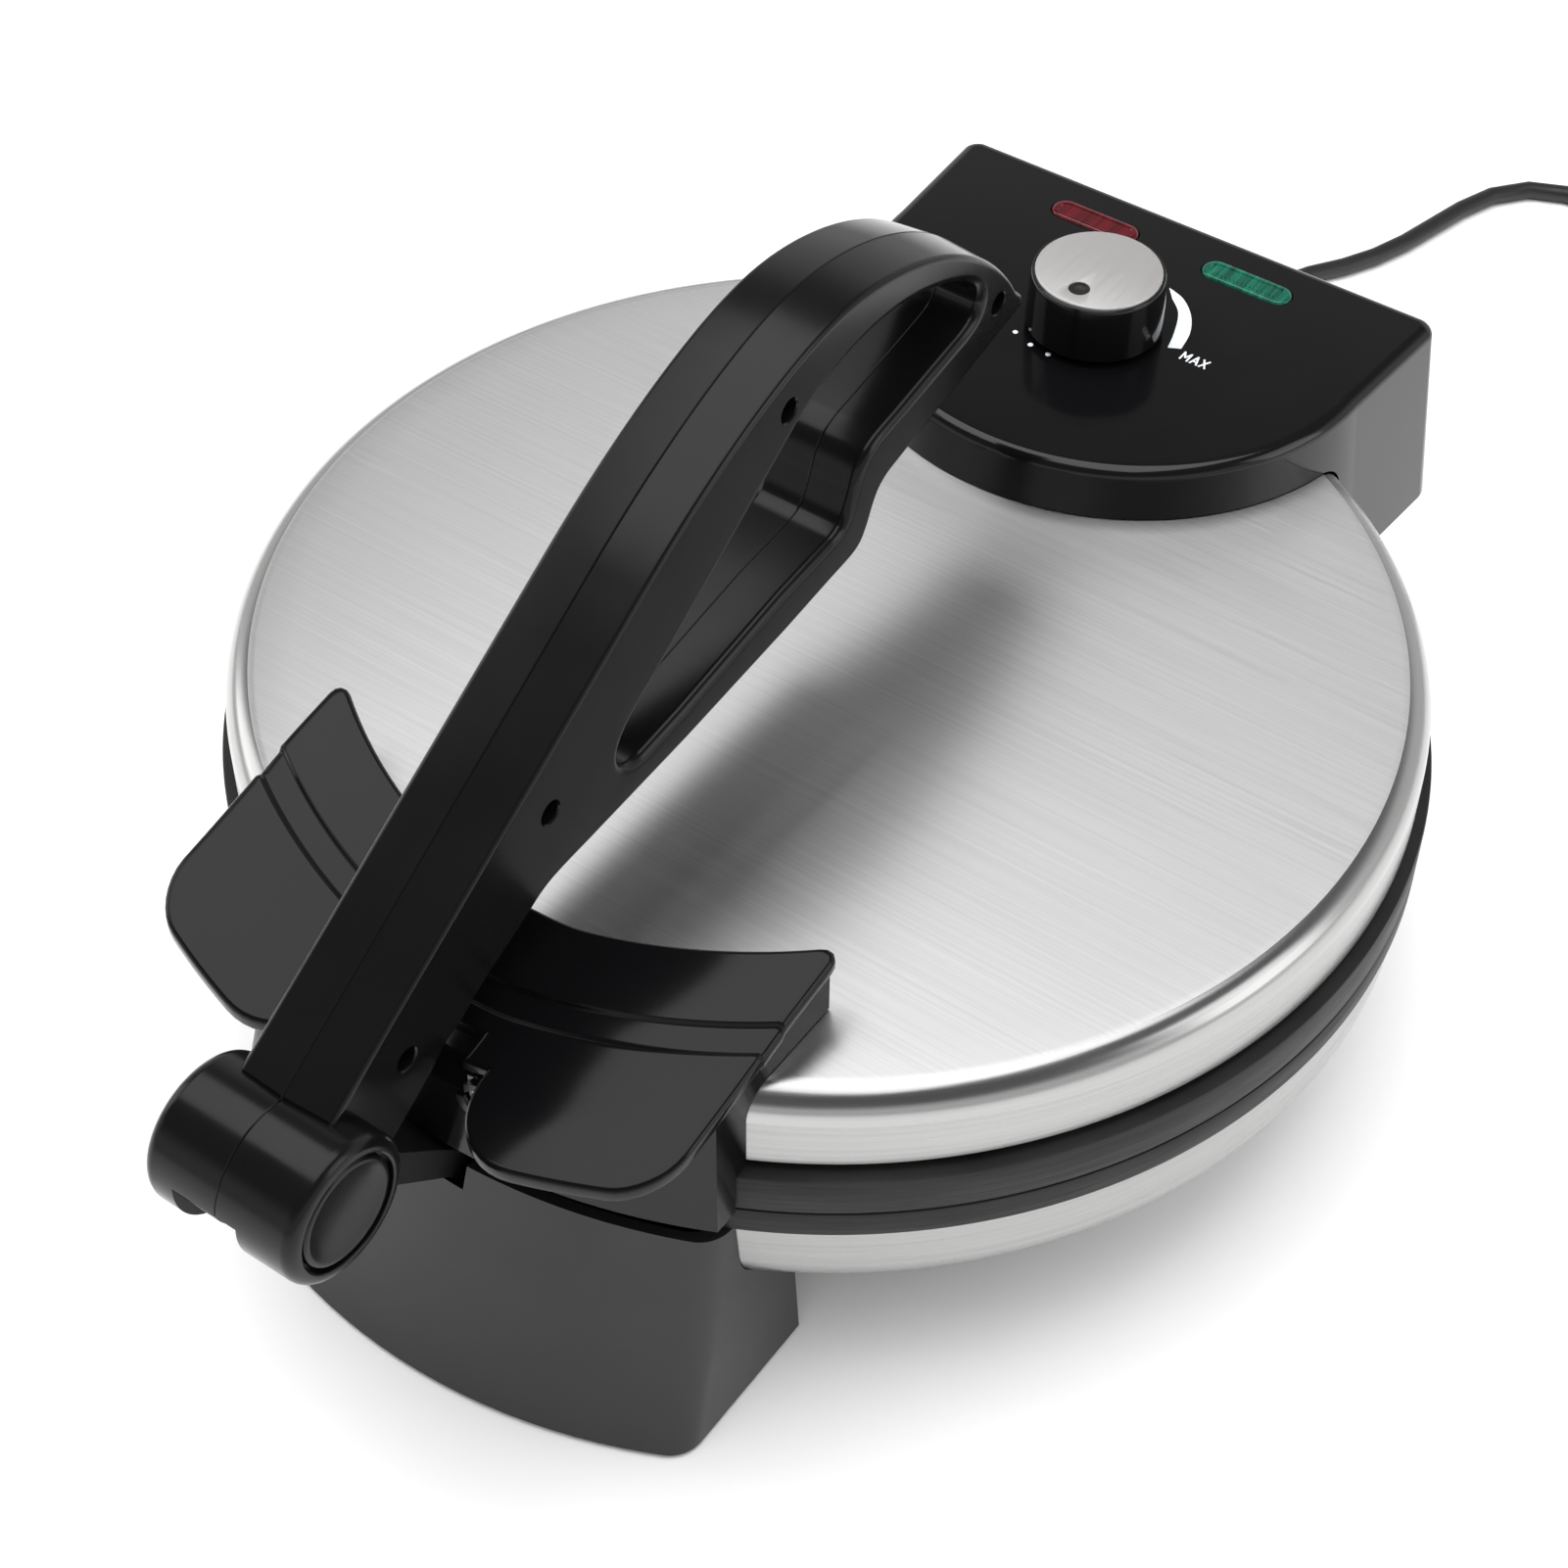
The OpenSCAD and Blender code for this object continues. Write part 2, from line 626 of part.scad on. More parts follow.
// The coil spirals in on the floor, climbs one layer as it turns back, and spirals out again
coil_steps = 24;
function coil_at(t) =
    let (half = coil_loops / 2, a = -90 + 360 * t, r = coil_r - coil_pitch * min(t, coil_loops - t),
        climb = min(max((t - half) / 0.5 + 0.5, 0), 1), ease = climb * climb * (3 - 2 * climb))
    [coil_x + r * cos(a), coil_y + r * sin(a), lie_z + coil_pitch * ease];
coil_path = concat([[coil_x - cord_d, run_y, lie_z]],
    [for (i = [0 : coil_loops * coil_steps]) coil_at(i / coil_steps)],
    [[coil_x + cord_d, run_y, coil_top_z]]);
coil_gap = min([for (i = [0 : len(coil_path) - 1]) for (j = [0 : len(coil_path) - 1])
    if (j - i > coil_steps / 2) norm(coil_path[i] - coil_path[j])]) - cord_d;
echo(coil_least_gap = coil_gap);

module power_cord() {
    color("#101010") tube(cord_route, cord_r, 8);
}
module cord_coil() {
    color("#101010") tube(coil_path, cord_r, 6);
}
module cord_tail() {
    color("#101010") tube(tail_route, cord_r, 8);
}
module plug() {
    color("#141414") translate([plug_x, run_y, plug_r]) rotate([0, 90, 0]) {
        cylinder(h = 16, r1 = cord_r + 1.6, r2 = 8);
        translate([0, 0, 16]) cylinder(h = 12, r1 = 8, r2 = plug_r - 0.5);
        translate([0, 0, 28]) cylinder(h = 13, r = plug_r);
        for (s = [-1, 1]) translate([0, s * 9.5, 41]) cylinder(h = 19, r = 2.4);
    }
}

// Upper half: steel lid, plate, element and heat shield

// Screws through the lid's side into the plate's four ears
ear_w = 14;
ear_h = 17;
ear_depth = 12;
ear_screw_z = lid_edge + ear_h - 7;
front_ear_a = asin((channel_half_w - 1.5) / grip_wall_r);
rear_ear_a = 160;
thermostat_hole_r = 17;

module lid_shell() {
    color("gainsboro") difference() {
        rotate_extrude($fn = 180) polygon(lid_outline(0));
        rotate_extrude($fn = 180) polygon(concat(
            [[0, lid_edge - 1], [lid_r - sheet_t, lid_edge - 1]],
            arc_points(shoulder_in_r, lid_top - lid_shoulder_r, lid_shoulder_r - sheet_t, 0, 90, 8),
            [for (i = [5 : -1 : 0]) let (r = shoulder_in_r * i / 6) [r, lid_top_at(r) - sheet_t]]));
        translate([0, knob_y, lid_top - 6]) cylinder(h = 12, r = thermostat_hole_r);
        pair() for (a = [front_ear_a, rear_ear_a])
            facing_in(a, lid_r + 2, ear_screw_z) cylinder(h = 5, r = screw_hole_r);
    }
}

module lid_screws() {
    color("silver") pair() facing_in(rear_ear_a, lid_r + 0.1, ear_screw_z) mirror([0, 0, 1]) screw(8);
}

module ear(angle) {
    rotate([0, 0, angle]) intersection() {
        translate([-ear_w / 2, -lid_r, rim_top - 2]) cube([ear_w, ear_depth, ear_h]);
        difference() {
            cylinder(h = long, r = lid_r - sheet_t - 0.5, $fn = 180);
            cylinder(h = long, r = rim_inner_r + 0.5, $fn = 180);
        }
    }
}

module upper_plate() {
    color("#2b2b2d") difference() {
        union() {
            rotate_extrude($fn = 180) polygon([[0, upper_face], [rim_inner_r + 6, upper_face],
                [rim_inner_r + 7, upper_seam], [rim_r, upper_seam], [rim_r, rim_top],
                [rim_inner_r, rim_top], [rim_inner_r, upper_face + plate_t], [0, upper_face + plate_t]]);
            at_bosses(upper_face + 1) cylinder(h = upper_shield_z - upper_face - 1, r = boss_r);
            pair() for (a = [front_ear_a, rear_ear_a]) ear(a);
        }
        at_bosses(upper_shield_z - 9) cylinder(h = 10, r = screw_r);
        pair() at(plate_screw, rim_top - 10) cylinder(h = 20, r = screw_r);
        pair() at(thermostat_screw, upper_face + 1) cylinder(h = 5, r = screw_r);
        pair() for (a = [front_ear_a, rear_ear_a])
            facing_in(a, lid_r, ear_screw_z) cylinder(h = 9, r = screw_r);
    }
}

module upper_element() {
    element(upper_face + plate_t + element_d / 2 + 0.05, 1);
}

module upper_shield() {
    shield(upper_shield_z);
}

module upper_shield_screws() {
    color("silver") at_bosses(upper_shield_z + shield_t) screw(8);
}

// Winged grip on the lid's front: two tilted wings on one hollow skirt

grip_low = upper_seam + 0.2;
grip_wall = 3;
saddle_half_w = lever_half_w + 1.6;
saddle_z = lid_edge + 10.3;
channel_wall_top = lid_top - 1;
wing_root_z = lid_top + 5.3;
wing_root_x = 45;
skirt_inset = 1.5;
// Heights of a wing's top above its root, before its tilt, at distances from the lid's axis
wing_line = [[wing_rear_r - 12, 12.3], [wing_rear_r, 9.5], [wing_rear_r + 18.5, 5.3], [wing_rear_r + 26, 3],
    [grip_wall_r, -0.3], [mix(grip_wall_r, wing_front_r, 0.6), -3.3], [wing_front_r + 10, -8.2]];
band_in_r = wing_rear_r + 18.5;
band_out_r = wing_rear_r + 26;
band_depth = 1.2;
// Height of a wing's top at a place over the lid, and from it the saddle that joins both wings
function wing_z(x, r) =
    let (h = lookup(r, wing_line), tilted = (x - wing_root_x + h * sin(wing_tilt)) / cos(wing_tilt))
    wing_root_z + tilted * sin(wing_tilt) + h * cos(wing_tilt);
saddle_t = 3;
saddle_out_r = lid_r + 4.4;
saddle_line = [for (r = [wing_rear_r, mix(wing_rear_r, band_in_r, 0.5), band_in_r, band_out_r, lid_r + 0.8])
    [r, wing_z(saddle_half_w, r)]];

// The space between two depths below the wings' top
module under_wing(from, to) {
    last = len(wing_line) - 1;
    translate([wing_root_x, 0, wing_root_z]) rotate([0, -wing_tilt, 0]) translate([-wing_root_x, 0, 0])
        rotate_extrude($fn = 180) polygon(concat([for (p = wing_line) [p[0], p[1] - from]],
            [for (i = [last : -1 : 0]) [wing_line[i][0], wing_line[i][1] - to]]));
}
// Plan of the right wing: arcs front and rear, a wide inner and a tighter outer front corner
inner_corner = 20;
outer_corner = 11;
module wing_plan(inset) {
    front = wing_front_r - inset;
    rear = wing_rear_r + inset;
    in_x = channel_half_w + inset;
    out_x = grip_half_w - inset;
    in_r = inner_corner - inset;
    out_r = outer_corner - inset;
    in_a = asin((in_x + in_r) / (front - in_r));
    out_a = asin((out_x - out_r) / (front - out_r));
    polygon(concat(
        arc_points(0, 0, rear, -90 + asin(in_x / rear), -90 + asin(out_x / rear), 10),
        arc_points(out_x - out_r, -(front - out_r) * cos(out_a), out_r, 0, -90 + out_a, 6),
        arc_points(0, 0, front, -90 + mix(in_a, out_a, 0.9), -90 + mix(in_a, out_a, 0.1), 6),
        arc_points(in_x + in_r, -(front - in_r) * cos(in_a), in_r, -90 + in_a, -180, 8)));
}
// Plan of the part of the wings' skin that reaches in to the saddle
module root_plan() {
    intersection() {
        translate([saddle_half_w - slice, -grip_wall_r])
            square([channel_half_w + 1 - saddle_half_w, grip_wall_r]);
        difference() {
            circle(r = grip_wall_r, $fn = 180);
            circle(r = wing_rear_r, $fn = 180);
        }
    }
}
// Low skin under the lever, which follows the lid's shoulder down to the front wall
module saddle() {
    last = len(saddle_line) - 1;
    intersection() {
        rotate_extrude($fn = 180) polygon(concat(saddle_line,
            [[lid_r + 3, lid_top - 1.2], [lid_r + 4, lid_top - 5.2], [saddle_out_r, saddle_z + 2.5],
            [grip_wall_r, saddle_z], [grip_wall_r, saddle_z - saddle_t], [lid_r - 2, saddle_z - saddle_t]],
            [for (i = [last - 1 : -1 : 0]) [saddle_line[i][0], saddle_line[i][1] - saddle_t]]));
        translate([-saddle_half_w, -grip_wall_r - 1, 0])
            cube([saddle_half_w * 2, grip_wall_r - wing_rear_r * 0.9, long]);
    }
}
module saddle_band() {
    at_in = lookup(band_in_r, saddle_line) - band_depth;
    at_out = lookup(band_out_r, saddle_line) - band_depth;
    intersection() {
        rotate_extrude($fn = 180) polygon([[band_in_r, at_in], [band_out_r, at_out],
            [band_out_r, at_out + 6], [band_in_r, at_in + 6]]);
        translate([-saddle_half_w, -long, 0]) cube([saddle_half_w * 2, long, long]);
    }
}
module skirt(inset) {
    intersection() {
        translate([0, 0, grip_low]) linear_extrude(60) wing_plan(inset);
        translate([0, 0, grip_low]) cylinder(h = 60, r = grip_wall_r - inset + skirt_inset, $fn = 180);
    }
}
module front_wall() {
    half_w = channel_half_w + grip_wall;
    intersection() {
        translate([0, 0, grip_low]) difference() {
            cylinder(h = channel_wall_top - grip_low, r = grip_wall_r, $fn = 180);
            translate([0, 0, -1]) cylinder(h = long, r = grip_wall_r - grip_wall, $fn = 180);
        }
        translate([-half_w, -grip_wall_r - 1, 0]) cube([half_w * 2, 20, long]);
    }
}

module lid_grip() {
    color("#18181a") difference() {
        union() {
            difference() {
                union() {
                    pair() intersection() {
                        under_wing(0, wing_t);
                        linear_extrude(long) {
                            wing_plan(0);
                            root_plan();
                        }
                    }
                    pair() intersection() {
                        under_wing(1, 80);
                        difference() {
                            skirt(skirt_inset);
                            translate([0, 0, -1]) scale([1, 1, 1.1]) skirt(skirt_inset + grip_wall);
                        }
                    }
                    front_wall();
                    pair() facing_in(front_ear_a, grip_wall_r + 1.5, ear_screw_z) cylinder(h = 11, r = 6.5);
                }
                translate([-saddle_half_w, -grip_wall_r - 20, saddle_z])
                    cube([saddle_half_w * 2, 60, long]);
            }
            saddle();
        }
        // room for the steel lid and for the plate's rim
        rotate_extrude($fn = 180) polygon(lid_outline(slack + 0.1));
        cylinder(h = lid_edge, r = rim_r + 1, $fn = 180);
        // sunken band along each wing and over the saddle
        saddle_band();
        pair() intersection() {
            under_wing(-6, band_depth);
            difference() {
                cylinder(h = long, r = band_out_r, $fn = 180);
                cylinder(h = long, r = band_in_r, $fn = 180);
            }
            translate([saddle_half_w, -long, 0]) cube([grip_half_w - 2.2 - saddle_half_w, long, long]);
        }
        pair() facing_in(front_ear_a, grip_wall_r, ear_screw_z) {
            translate([0, 0, -4]) cylinder(h = 6.7, r = head_r + 0.5);
            cylinder(h = 20, r = screw_hole_r);
        }
    }
}

module grip_screws() {
    color("silver") pair() facing_in(front_ear_a, grip_wall_r - 2.7, ear_screw_z)
        mirror([0, 0, 1]) screw(15);
}

// Control housing with its knob and lenses

housing_corner = 5;
edge_round = 3.4;
// Level outline of the housing: a half circle in front and two rounded corners at the rear
module housing_level(z, g) {
    corner = housing_corner + g;
    corner_x = housing_half_w + housing_flare - housing_corner;
    translate([0, 0, z]) linear_extrude(slice) polygon(concat(
        arc_points(0, housing_arc_y, housing_half_w + g, 180, 360, 48),
        arc_points(corner_x, housing_rear - housing_corner, corner, 0, 90, 8),
        arc_points(-corner_x, housing_rear - housing_corner, corner, 90, 180, 8)));
}
module housing_form(inset, low, rounding) {
    hull() {
        housing_level(low, housing_draft - inset);
        for (a = [0 : 22.5 : 90]) housing_level(housing_top - inset - rounding * (1 - sin(a)) - slice,
            -inset - rounding * (1 - cos(a)));
    }
}
cover_z = rim_top + bracket_t;
cover_plate_t = 2.5;
housing_boss = [60, housing_rear - 14];
module stadium(l, w) {
    square([l - w, w], center = true);
    for (s = [-1, 1]) translate([s * (l - w) / 2, 0]) circle(d = w);
}

module control_housing() {
    boss_z = cover_z + cover_plate_t;
    color("#151517") difference() {
        union() {
            difference() {
                housing_form(0, housing_low, edge_round);
                housing_form(housing_wall, housing_low - 1, 1.5);
            }
            pair() at(housing_boss, boss_z) cylinder(h = housing_top - boss_z - 1, r = 4.5);
        }
        rotate_extrude($fn = 180) polygon(lid_outline(slack + 0.1));
        translate([0, 0, housing_low - 2])
            cylinder(h = lid_edge - housing_low + 2, r = rim_r + 1.2, $fn = 180);
        pair() at(housing_boss, cover_z) cylinder(h = 22, r = screw_r);
        translate([0, knob_y, housing_top - 10]) cylinder(h = 20, r = 4.5);
        pair() translate([lens_x, lens_y, housing_top - 10]) linear_extrude(20)
            stadium(lens_l + 0.5, lens_w + 0.5);
    }
}

module housing_cover() {
    spread = housing_draft * (housing_top - cover_z - cover_plate_t) / (housing_top - housing_low);
    w = housing_half_w + spread - housing_wall - 0.8;
    front = housing_arc_y - 11.5;
    rear = housing_rear + spread - housing_wall - 0.8;
    color("#1b1b1d") difference() {
        translate([0, 0, cover_z]) linear_extrude(cover_plate_t) difference() {
            polygon(concat([[-w, front], [w, front]], arc_points(w - 8, rear - 8, 8, 0, 90, 6),
                arc_points(8 - w, rear - 8, 8, 90, 180, 6)));
            circle(r = lid_r + 1.2, $fn = 180);
        }
        pair() at(housing_boss, cover_z - 1) cylinder(h = 6, r = screw_hole_r);
        pair() at(cover_screw, cover_z - 1) cylinder(h = 6, r = screw_hole_r);
        translate([-40, rear - 9, cover_z - 1]) cylinder(h = 6, r = 5);
    }
}

module cover_screws() {
    color("silver") pair() at(cover_screw, cover_z + cover_plate_t) screw(cover_plate_t + bracket_t);
}

module housing_screws() {
    color("silver") pair() at(housing_boss, cover_z) mirror([0, 0, 1]) screw(15);
}

lens_stand = 0.7;
module lens(x) {
    translate([x, lens_y, housing_top - 4]) {
        linear_extrude(4 + lens_stand) stadium(lens_l, lens_w);
        linear_extrude(1) stadium(lens_l + 3, lens_w + 3);
    }
}
module red_lens() {
    color("#b01018") lens(-lens_x);
}
module green_lens() {
    color("#0c9a5a") lens(lens_x);
}

module indicator_lamps() {
    color("orange") pair() {
        x_rod(lens_x - 9, lens_x + 9, lens_y, housing_top - 7.2, 3);
        translate([lens_x - 12, lens_y - 3, housing_top - 10.2]) cube([3.5, 6, 6]);
    }
}

thermostat_z = rim_top + 9;
thermostat_h = 20;
thermostat_r = 15;
shaft_r = 3;
thermostat_screw = [18, knob_y];
module thermostat_bracket() {
    z = upper_face + plate_t;
    color("lightgray") difference() {
        union() {
            pair() translate([11, knob_y - 8, z]) cube([12, 16, 1.5]);
            pair() translate([11, knob_y - 8, z]) cube([1.5, 16, thermostat_z - z]);
            translate([-12.5, knob_y - 8, thermostat_z - 1.5]) cube([25, 16, 1.5]);
        }
        pair() at(thermostat_screw, z - 1) cylinder(h = 4, r = screw_hole_r);
    }
}

module thermostat_screws() {
    color("silver") pair() at(thermostat_screw, upper_face + plate_t + 1.5) screw(4.2);
}

module thermostat() {
    color("ivory") difference() {
        translate([0, knob_y, thermostat_z]) cylinder(h = thermostat_h, r = thermostat_r);
        translate([0, knob_y, thermostat_z + 6]) cylinder(h = 40, r = shaft_r + pin_gap);
    }
}

knob_low = housing_top + knob_gap;
knob_top = knob_low + knob_h;
disc_t = 1.6;
disc_r = knob_r - 1.8;
// The shaft has a flat that turns it with the knob
shaft_flat = 1.6;
module thermostat_shaft() {
    low = thermostat_z + 6.3;
    color("silver") difference() {
        translate([0, knob_y, low]) cylinder(h = knob_low + 10 - low, r = shaft_r);
        translate([-4, knob_y + shaft_flat, knob_low]) cube([8, 4, 20]);
    }
}

module knob() {
    color("#141416") translate([0, knob_y, knob_low]) difference() {
        union() {
            cylinder(h = knob_h, r1 = knob_r, r2 = knob_r - 0.8);
            translate([0, 0, knob_h - 0.5]) cylinder(h = disc_t + 0.5, r = knob_r - 0.9);
        }
        translate([0, 0, -1]) difference() {
            cylinder(h = knob_h - 1, r = knob_r - 3);
            cylinder(h = knob_h, r = 7);
        }
        translate([0, 0, -1]) difference() {
            cylinder(h = 11.2, r = shaft_r);
            translate([-4, shaft_flat, 0]) cube([8, 4, 20]);
        }
        translate([0, 0, knob_h]) cylinder(h = 5, r = disc_r + 0.1);
    }
}

module knob_disc() {
    color("silver") difference() {
        translate([0, knob_y, knob_top]) cylinder(h = disc_t + 0.2, r = disc_r);
        translate([0, knob_y - 10.2, knob_top + 3.2]) sphere(r = 3);
    }
}

// Press lever: two half shells on a steel pin, seen from the right as (y, z)

// Points are hundredths of the lever's length, from its pin
tip = [100, 25.94];
function lever_outline() = concat(
    [[2.1, 6.82], [43.03, 32.12]],
    bezier([43.03, 32.12], [52.62, 38.01], [63.64, 42.5], [71.51, 42.5], 8),
    bezier([71.51, 42.5], [81.26, 42.5], [94.38, 36.81], tip, 8),
    bezier(tip, [100.37, 25.19], [100.15, 24.81], [99.25, 24.55], 3),
    [[79.01, 19.68]],
    bezier([79.01, 19.68], [76.39, 19], [76.39, 16.94], [75.26, 15.25], 4),
    bezier([75.26, 15.25], [74.33, 13.68], [73.39, 13.64], [70.05, 13.31], 4),
    [[62.71, 12.37], [48.28, 10.94], [34.41, 10.01], [29.16, 9.93], [21.06, 5.7],
        [18.4, 3.71], [15.89, 2.92], [13.19, 0.79], [8.62, -2.17],
        [6.18, -1.54], [0, 0]]);
function hand_hole() = concat(
    bezier([39.47, 16.57], [39.66, 18.07], [41.15, 19.38], [43.78, 20.8], 4),
    [[64.39, 34.3]],
    bezier([64.39, 34.3], [69.27, 37.29], [76.01, 38.12], [82.38, 36.43], 6),
    bezier([82.38, 36.43], [88.01, 34.75], [92.88, 32.31], [92.69, 29.5], 6),
    bezier([92.69, 29.5], [92.5, 28], [91, 27.62], [89.36, 27.32], 4),
    [[80.13, 25.49], [77.51, 25.04]],
    bezier([77.51, 25.04], [73.76, 24.25], [73.76, 21.81], [72.83, 19.94], 5),
    bezier([72.83, 19.94], [72.08, 17.99], [71.33, 17.8], [69.9, 17.62], 3),
    [[62.63, 16.94], [48.28, 14.58], [42.69, 13.94]],
    bezier([42.69, 13.94], [40.78, 13.76], [39.36, 14.69], [39.47, 16.57], 4));
lever_screws_at = [[63.08, 36.88], [30.32, 17.47], [11.17, 5.58], [95.69, 27.66]];
lever_screw_at = [for (p = lever_screws_at) p * lever_l / 100];
screw_seat = 4;
lever_head_r = 2.8;
lever_wall = 2.6;
slot_start = 173;
slot_end = 341;
cap_r = 13.6;
cap_t = 2.4;
bush_r = 6.5;

module on_lever(points) {
    polygon([for (p = points) p * lever_l / 100]);
}
module at_barrel() {
    translate([0, -barrel_y, barrel_z]) children();
}
// Hollows inside the arm and the grip, clear of the screws' bosses
module lever_hollows() {
    difference() {
        union() {
            on_lever([[10.42, 6.07], [10.42, 10.38], [37.03, 26.87], [37.03, 12.44],
                [29.16, 11.51], [21.29, 7.57]]);
            on_lever([[42.28, 22.94], [42.28, 30.06], [54.27, 36.66], [64.77, 40.55], [71.51, 41.3],
                [79.01, 40.55], [85.76, 37.74], [85.01, 36.96], [76.76, 38.76], [70.01, 38.61],
                [64.39, 36.06]]);
        }
        for (p = lever_screw_at) translate(p) circle(r = 5.4);
    }
}
// Right half of the lever about its pin, with a slot of the given width for the neck
module lever_half(slot_w) {
    difference() {
        union() {
            along_x(0, lever_half_w) difference() {
                on_lever(lever_outline());
                on_lever(hand_hole());
            }
            x_rod(0, barrel_half_l, 0, 0, barrel_r);
        }
        along_x(-1, lever_half_w - lever_wall) lever_hollows();
        x_rod(-1, slot_w, 0, 0, knuckle_r + knuckle_gap);
        along_x(-1, slot_w)
            polygon(concat([[0, 0]], arc_points(0, 0, barrel_r + 3, slot_start, slot_end, 14)));
        x_rod(0, barrel_half_l, 0, 0, bush_r);
        x_rod(barrel_half_l - cap_t, barrel_half_l + 1, 0, 0, cap_r + 0.3);
    }
}
module lever_right_half() {
    color("#141416") at_barrel() difference() {
        lever_half(neck_right + 0.4);
        for (p = lever_screw_at) {
            x_rod(screw_seat, long, p[0], p[1], lever_head_r + 0.2);
            x_rod(-1, long, p[0], p[1], screw_hole_r);
        }
    }
}
module lever_left_half() {
    color("#141416") at_barrel() difference() {
        mirror([1, 0, 0]) lever_half(0.4 - neck_left);
        x_rod(neck_left - 0.4, collar_end + 0.4, 0, 0, collar_r + knuckle_gap);
        for (p = lever_screw_at) x_rod(-9, 1, p[0], p[1], screw_r);
    }
}

module lever_screws() {
    color("silver") at_barrel() for (p = lever_screw_at) {
        x_rod(screw_seat, screw_seat + head_h, p[0], p[1], lever_head_r);
        x_rod(-8.6, screw_seat + 1, p[0], p[1], screw_r);
    }
}

// Caps over the pin's ends, hollowed by a shallow dish
dish_r = 44;
module barrel_caps() {
    color("#141416") at_barrel() pair() difference() {
        x_rod(barrel_half_l - cap_t, barrel_half_l - 0.2, 0, 0, cap_r);
        translate([barrel_half_l + dish_r - 1.2, 0, 0]) sphere(r = dish_r);
    }
}

// Bushes between the pin and the lever's halves
module barrel_bushes() {
    color("goldenrod") at_barrel() difference() {
        union() {
            x_rod(neck_right + 0.4, pin_end, 0, 0, bush_r);
            x_rod(-pin_end, neck_left - 0.4, 0, 0, bush_r);
        }
        x_rod(-long, long, 0, 0, lever_pin_r + pin_gap);
    }
}

placed() lower_pan();
placed() lower_plate();
placed() lower_element();
placed() lower_shield();
placed() lower_spacers();
placed() pan_screws();
placed() front_base();
placed() rear_base();
placed() rear_cover();
placed() rubber_feet();
placed() base_screws();
placed() lever_neck();
placed() neck_bolts();
placed() lever_pin();
placed() lower_hinge_bracket();
placed() lower_bracket_bolts();
placed() hinge_pin();
placed() terminal_block();
placed() strain_relief();
placed() power_cord();
placed() cord_coil();
placed() cord_tail();
placed() plug();
placed() lid_shell();
placed() lid_screws();
placed() upper_plate();
placed() upper_element();
placed() upper_shield();
placed() upper_shield_screws();
placed() upper_hinge_bracket();
placed() upper_bracket_screws();
placed() lid_grip();
placed() grip_screws();
placed() control_housing();
placed() housing_cover();
placed() cover_screws();
placed() housing_screws();
placed() red_lens();
placed() green_lens();
placed() indicator_lamps();
placed() thermostat();
placed() thermostat_bracket();
placed() thermostat_screws();
placed() thermostat_shaft();
placed() knob();
placed() knob_disc();
placed() lever_left_half();
placed() lever_right_half();
placed() lever_screws();
placed() barrel_caps();
placed() barrel_bushes();
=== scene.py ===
# Electric roti maker: looks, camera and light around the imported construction
import json
import math

import bmesh
import bpy
from mathutils import Matrix, Vector


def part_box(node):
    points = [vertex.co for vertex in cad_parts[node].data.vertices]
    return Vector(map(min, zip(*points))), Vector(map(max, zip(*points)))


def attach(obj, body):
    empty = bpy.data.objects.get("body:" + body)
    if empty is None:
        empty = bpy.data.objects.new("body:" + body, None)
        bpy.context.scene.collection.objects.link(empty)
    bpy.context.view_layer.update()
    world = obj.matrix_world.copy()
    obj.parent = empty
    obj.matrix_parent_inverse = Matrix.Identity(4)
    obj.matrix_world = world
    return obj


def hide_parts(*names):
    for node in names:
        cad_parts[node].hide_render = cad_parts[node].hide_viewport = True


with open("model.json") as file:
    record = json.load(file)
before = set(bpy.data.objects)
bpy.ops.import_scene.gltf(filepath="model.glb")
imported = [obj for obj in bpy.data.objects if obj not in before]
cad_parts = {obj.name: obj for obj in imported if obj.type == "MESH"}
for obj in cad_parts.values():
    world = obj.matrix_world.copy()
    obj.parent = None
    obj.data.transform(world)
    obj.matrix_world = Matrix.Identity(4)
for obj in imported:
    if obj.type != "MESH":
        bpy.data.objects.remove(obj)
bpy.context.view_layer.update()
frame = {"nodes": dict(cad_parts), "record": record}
mm = 0.001
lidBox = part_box("lid_shell")
plateY = (lidBox[0][1] + lidBox[1][1]) / 2  # the lid's axis, which the sizes below start from


# Camera: the photograph's own, in metres from the lid's axis
viewpoint = {
    "place": (0.30318, -0.45244, 0.61999),
    "azimuth": 34.956,
    "elevation": 46.308,
    "roll": 0.5388,
    "lens": 68.76,
    "sensor": 36.0,
}


def addCamera():
    azimuth = math.radians(viewpoint["azimuth"])
    elevation = math.radians(viewpoint["elevation"])
    roll = math.radians(viewpoint["roll"])
    back = Vector((math.sin(azimuth) * math.cos(elevation),
                   -math.cos(azimuth) * math.cos(elevation), math.sin(elevation)))
    right = Vector((math.cos(azimuth), math.sin(azimuth), 0))
    up = back.cross(right)
    turnedRight = right * math.cos(roll) + up * math.sin(roll)
    turnedUp = up * math.cos(roll) - right * math.sin(roll)
    data = bpy.data.cameras.new("camera")
    data.lens = viewpoint["lens"]
    data.sensor_width = viewpoint["sensor"]
    camera = bpy.data.objects.new("camera", data)
    turned = Matrix((turnedRight, turnedUp, back)).transposed().to_4x4()
    camera.matrix_world = Matrix.Translation(Vector(viewpoint["place"]) + Vector((0, plateY, 0))) @ turned
    bpy.context.scene.collection.objects.link(camera)
    bpy.context.scene.camera = camera


addCamera()
print("camera set")


